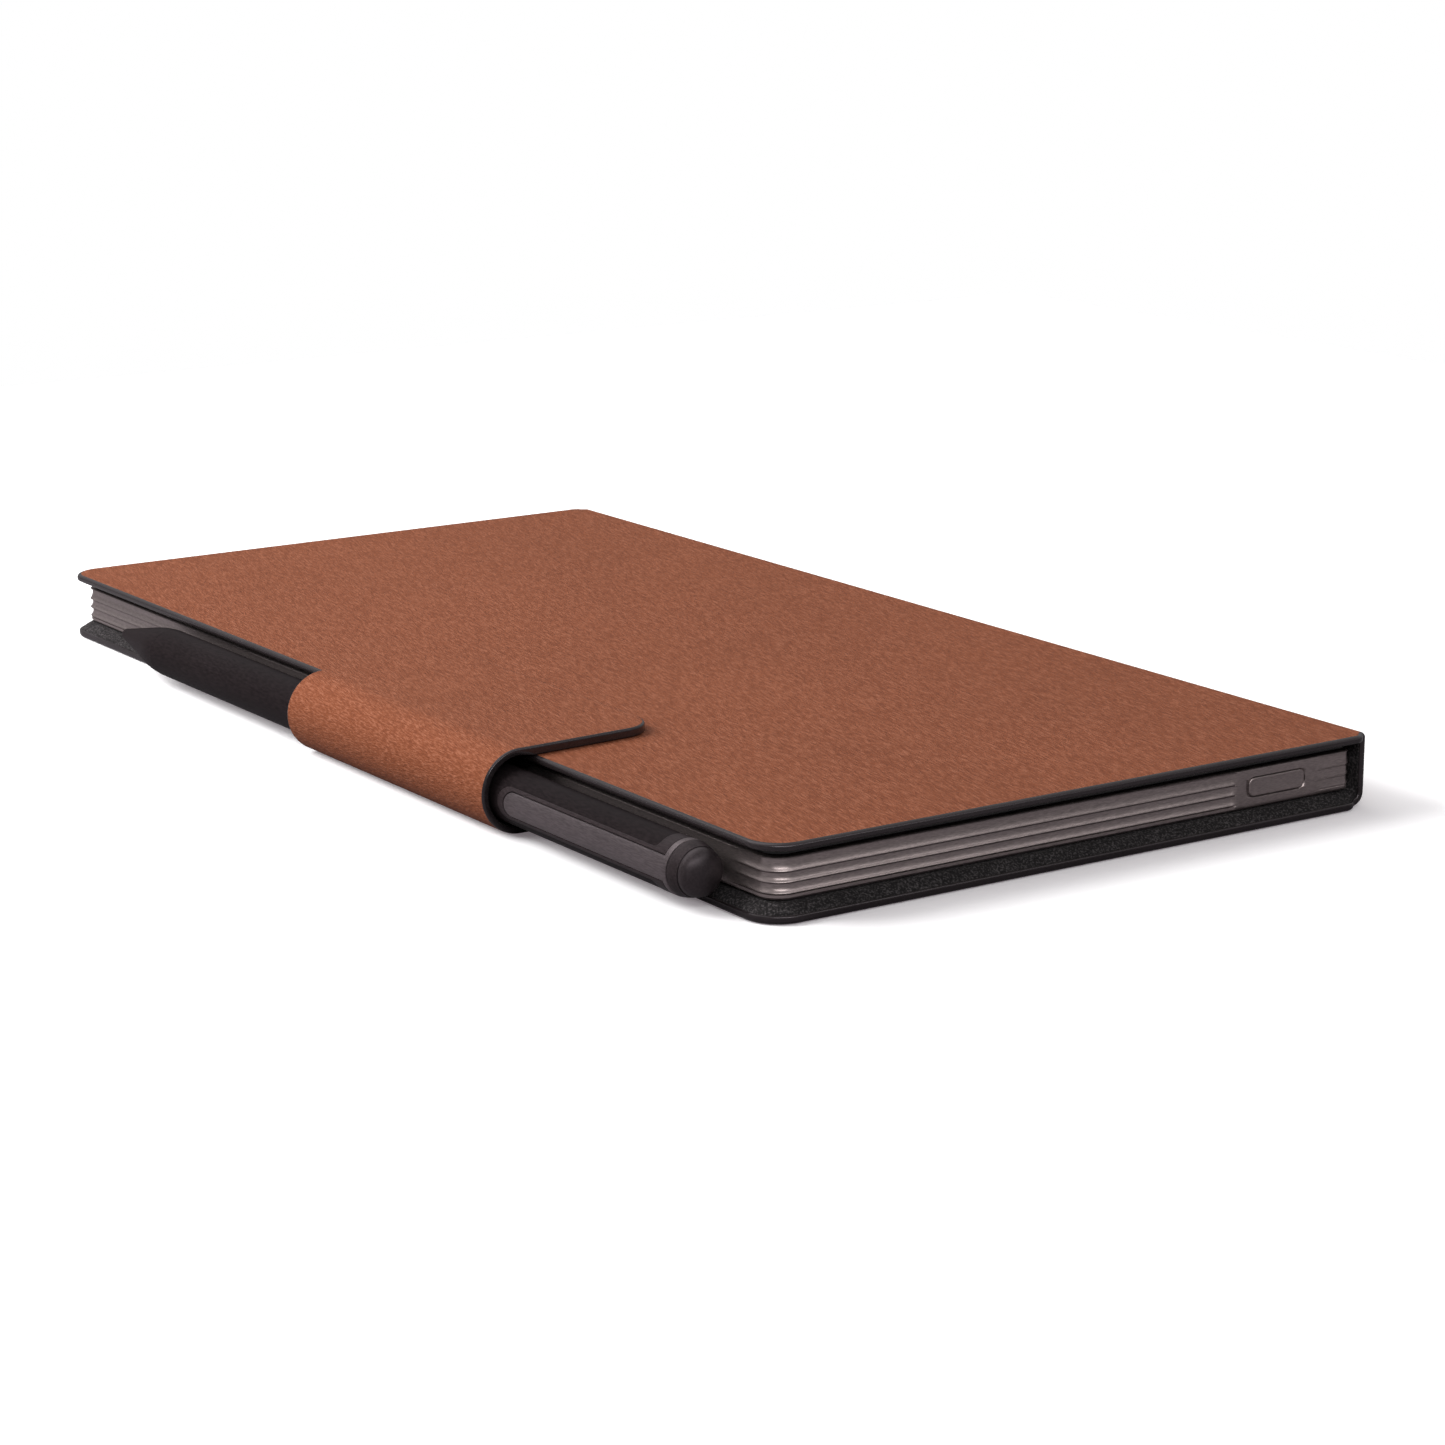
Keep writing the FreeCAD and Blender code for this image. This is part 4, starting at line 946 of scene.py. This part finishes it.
def make_clip():
    """The metal tongue along the pen, and the dark trim that frames it."""
    edge = [(0.16, 0.0, 0), (0.08, 0.012, 0), (0.03, 0.05, 0), (0.0, 0.1, 0), (0.0, 0.5, 0)]
    inner_half = CLIP_HALF + CLIP_GAP
    inner_end = CLIP_START_Y - CLIP_GAP
    outer_end = CLIP_START_Y - (TRIM_HALF - CLIP_HALF) - TRIM_LEAD
    trim_end = COLLAR_START_Y - 0.02
    corners = [(BAND_START_Y, -BEYOND, 0.0), (trim_end, -BEYOND, 0.0),
               (trim_end, -inner_half, 0.0), (inner_end, -inner_half, inner_half - 0.02),
               (inner_end, inner_half, inner_half - 0.02), (trim_end, inner_half, 0.0),
               (trim_end, BEYOND, 0.0), (BAND_START_Y, BEYOND, 0.0),
               (BAND_START_Y, TRIM_HALF, 0.9), (outer_end, TRIM_HALF, TRIM_HALF - 0.02),
               (outer_end, -TRIM_HALF, TRIM_HALF - 0.02), (BAND_START_Y, -TRIM_HALF, 0.9)]
    border = pen_plate("pen_trim", corners, edge, pen_trim_metal, ROUND_ENDS)

    corners = [(CLIP_START_Y, -CLIP_HALF, CLIP_HALF - 0.02), (CLIP_END_Y, -CLIP_HALF, 0.0),
               (CLIP_END_Y, CLIP_HALF, 0.0), (CLIP_START_Y, CLIP_HALF, CLIP_HALF - 0.02)]
    clip = pen_plate("pen_clip", corners, edge, pen_metal,
                     [(0, COLLAR_START_Y + 0.3, 1, True)])
    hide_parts("pen_tongue")


def make_collar():
    start, end = nose_high.y - 1.0, core_high.y
    rows = [(CORE_BORE_R, start, 0), (PEN_R - 0.5, start, 0),
            (PEN_R - 0.5, COLLAR_START_Y, 0), (PEN_R - 0.06, COLLAR_START_Y, 0),
            (PEN_R, COLLAR_START_Y + 0.08, 0), (PEN_R, end - 0.2, 0),
            (PEN_R - 0.04, end - 0.08, 0), (PEN_R - 0.14, end - 0.02, 0),
            (CORE_BORE_R, end, 0)]
    collar = lathe("pen_collar", rows, (pen_metal,), "pen")
    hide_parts("pen_core")


def make_cap():
    """The tapered ring at the end of the pen, and the domed button in it."""
    cap_r = cap_high.z - PEN_Z
    dome_r = dome_high.z - PEN_Z
    low, high = cap_low.y, cap_high.y
    rows = [(BORE_R, low, 0), (cap_r - 0.12, low, 0), (cap_r, low + 0.12, 0)]
    for step in range(1, 8):
        share = step / 8.0
        rows.append((cap_r - (cap_r - CAP_END_R) * share ** 1.6,
                     low + 0.12 + (high - low - 0.3) * share, 0))
    rows += [(CAP_END_R - 0.02, high - 0.06, 0), (dome_r + 0.06, high, 0),
             (dome_r + 0.05, high - 0.7, 0), (BORE_R, high - 0.7, 0)]
    cap = lathe("pen_cap", rows, (cap_grey,), "pen")
    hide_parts("pen_cap_ring")

    foot, wall, top = high - 0.25, high + 0.35, dome_high.y
    rows = [(0.9, dome_low.y, 0), (0.9, high - 3.0, 0), (2.7, high - 3.0, 0),
            (2.7, foot, 0), (dome_r, foot, 0), (dome_r, wall, 0)]
    for step in range(1, 15):
        angle = math.radians(6.0 * step)
        rows.append((dome_r * math.cos(angle), wall + (top - wall) * math.sin(angle), 0))
    rows.append((0.0, top, 0))
    dome = lathe("pen_dome_cap", rows, (dome_soft,), "pen_end_button", sharp=50.0)
    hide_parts("pen_end_button")


def make_nose():
    """Straight cone that melts into the barrel, and the nib in it."""
    start, end = nose_low.y, nose_high.y
    rows = [(0.78, start + 2.0, 0), (0.78, start + 0.1, 0), (0.86, start, 0),
            (TIP_R - 0.1, start + 0.01, 0), (TIP_R + 0.02, start + 0.12, 0)]
    length = end - start - 0.2
    slope = (BARREL_R - TIP_R) / (length - NOSE_SHOULDER)
    for step in range(1, 24):
        along = length * step / 24.0
        short = (BARREL_R - TIP_R - slope * along) / NOSE_BLEND
        rows.append((BARREL_R - NOSE_BLEND * math.log(1.0 + math.exp(short)),
                     start + 0.2 + along, 0))
    rows += [(BARREL_R, end, 0), (BORE_R, end, 0)]
    nose = lathe("pen_tip_cone", rows, (pen_dark,), "pen", sharp=60.0)
    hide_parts("pen_nose")

    nib_r = nib_high.z - PEN_Z
    start = nib_low.y
    rows = [(0.0, start, 0), (nib_r * 0.45, start + 0.06, 0), (nib_r * 0.78, start + 0.22, 0),
            (nib_r * 0.95, start + 0.5, 0), (nib_r, start + 0.9, 0), (nib_r, nib_high.y, 0)]
    nib = lathe("pen_point", rows, (nib_black,), "pen_nib", sharp=60.0, turns=32)
    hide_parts("pen_nib")


def make_button_spring():
    """Coil behind the end button."""
    low, high = span("pen_button_spring")
    reach = (high.x - low.x) / 2 - SPRING_WIRE_R
    start, end = low.y + SPRING_WIRE_R, high.y - SPRING_WIRE_R
    steps = SPRING_TURNS * COIL_STEPS
    along = Vector((0, 1, 0))
    mesh = bmesh.new()
    rings = []
    for step in range(steps + 1):
        angle = math.tau * step / COIL_STEPS
        out = Vector((math.cos(angle), 0.0, math.sin(angle)))
        centre = Vector((PEN_X, start + (end - start) * step / steps, PEN_Z)) + out * reach
        ring = []
        for side in range(WIRE_SIDES):
            turn = math.tau * side / WIRE_SIDES
            rim = out * math.cos(turn) + along * math.sin(turn)
            ring.append(mesh.verts.new((centre + rim * SPRING_WIRE_R) * MM))
        rings.append(ring)
    for first, second in zip(rings, rings[1:]):
        for side in range(WIRE_SIDES):
            after = (side + 1) % WIRE_SIDES
            mesh.faces.new((first[side], first[after], second[after], second[side]))
    mesh.faces.new(rings[0])
    mesh.faces.new(rings[-1])
    spring = new_piece("pen_spring", mesh, (steel,))
    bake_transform(spring)
    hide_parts("pen_button_spring")


for make in (make_front, make_back, make_strap, make_shell_and_key, make_bezel, make_barrel,
             make_clip, make_collar, make_cap, make_nose, make_button_spring):
    make()


# ------------ camera, floor and light

CAMERA_PLACE = (0.35561, 0.54145, 0.15959)
CAMERA_TURN = (75.993, 0.0, 145.685)
CAMERA_LENS = 92.27
SENSOR_WIDTH = 36.0
FLOOR_HALF = 0.42
FLOOR_DROP = 0.00005
FLOOR_SEEN = (0.95, 0.95, 0.95, 1.0)
FLOOR_GLOW = (0.13, 0.112, 0.122, 1.0)
FLOOR_BOUNCE = (0.2, 0.19, 0.2, 1.0)
# Light from the sky by its height, from the horizon up.
SKY = ((0.0, (0.16, 0.155, 0.16)), (0.35, (0.36, 0.355, 0.36)), (0.9, (0.5, 0.5, 0.5)))
WHITE = (1.0, 1.0, 1.0, 1.0)
# Lamps as place, target and size in metres, then power in watts.
LAMPS = {
    "overhead": ((0.25, -0.45, 1.1), (0.0, 0.0, 0.0), (1.2, 1.0), 3.0),
    "corner_strip": ((0.36, 0.96, 0.62), (0.06, 0.12, 0.0), (1.1, 0.14), 4.0),
    "fore_key": ((0.58, -0.40, 0.46), (0.05, -0.05, 0.0), (0.6, 0.5), 10.6),
    "left_back": ((0.42, -0.75, 0.75), (0.05, 0.0, 0.0), (1.3, 1.0), 2.4),
    "end_strip": ((-0.36, 0.80, 0.62), (0.0, 0.12, 0.0), (0.5, 0.12), 0.5),
}


def make_camera():
    data = bpy.data.cameras.new("camera")
    data.sensor_width = SENSOR_WIDTH
    data.lens = CAMERA_LENS
    data.clip_start = 0.01
    camera = new_object("camera", data)
    camera.location = CAMERA_PLACE
    camera.rotation_euler = [math.radians(angle) for angle in CAMERA_TURN]
    bpy.context.scene.camera = camera


def make_floor():
    """Pale floor. It throws back less light than the eye sees, like a sweep with black
    flags beside the object."""
    mesh_data = bmesh.new()
    bmesh.ops.create_grid(mesh_data, x_segments=8, y_segments=8, size=FLOOR_HALF)
    mesh = bpy.data.meshes.new("floor")
    mesh_data.to_mesh(mesh)
    mesh_data.free()
    floor = new_object("floor", mesh)
    floor.location = (0.0, 0.0, -FLOOR_DROP)
    material = bpy.data.materials.new("pale_floor")
    tree = fresh_tree(material)
    to_eye = add(tree, "ShaderNodeLightPath").outputs["Is Camera Ray"]
    tone = mixed(tree, to_eye, FLOOR_BOUNCE, FLOOR_SEEN)
    matte = add(tree, "ShaderNodeBsdfDiffuse", {"Color": tone})
    glow = add(tree, "ShaderNodeEmission", {"Color": FLOOR_GLOW, "Strength": to_eye})
    both = add(tree, "ShaderNodeAddShader", {0: matte.outputs["BSDF"],
                                             1: glow.outputs["Emission"]})
    output = add(tree, "ShaderNodeOutputMaterial")
    tree.links.new(both.outputs["Shader"], output.inputs["Surface"])
    mesh.materials.append(material)


def softbox(name, place, target, size, power):
    data = bpy.data.lights.new(name, "AREA")
    data.shape = "RECTANGLE"
    data.size, data.size_y = size
    data.energy = power
    lamp = new_object(name, data)
    lamp.location = place
    aim = Vector(target) - Vector(place)
    lamp.rotation_euler = aim.to_track_quat("-Z", "Y").to_euler()
    return lamp


def make_world():
    """White to the eye; as a light it is dim towards the horizon and bright overhead."""
    world = bpy.data.worlds.new("studio")
    tree = fresh_tree(world)
    direction = add(tree, "ShaderNodeTexCoord").outputs["Generated"]
    height = add(tree, "ShaderNodeSeparateXYZ", {"Vector": direction}).outputs["Z"]
    sky = ramp(tree, height, SKY)
    lit = add(tree, "ShaderNodeBackground", {"Color": sky, "Strength": 1.0})
    seen = add(tree, "ShaderNodeBackground", {"Color": WHITE, "Strength": 1.0})
    to_eye = add(tree, "ShaderNodeLightPath").outputs["Is Camera Ray"]
    either = add(tree, "ShaderNodeMixShader", {0: to_eye, 1: lit.outputs["Background"],
                                               2: seen.outputs["Background"]})
    output = add(tree, "ShaderNodeOutputWorld")
    tree.links.new(either.outputs["Shader"], output.inputs["Surface"])
    bpy.context.scene.world = world


def make_light():
    """fore_key and left_back leave no highlight; end_strip gives nothing else."""
    lamps = {name: softbox(name, *values) for name, values in LAMPS.items()}
    lamps["fore_key"].visible_glossy = False
    lamps["left_back"].visible_glossy = False
    lamps["end_strip"].visible_diffuse = False
    bpy.context.scene.view_settings.view_transform = "Standard"


make_camera()
make_floor()
make_world()
make_light()
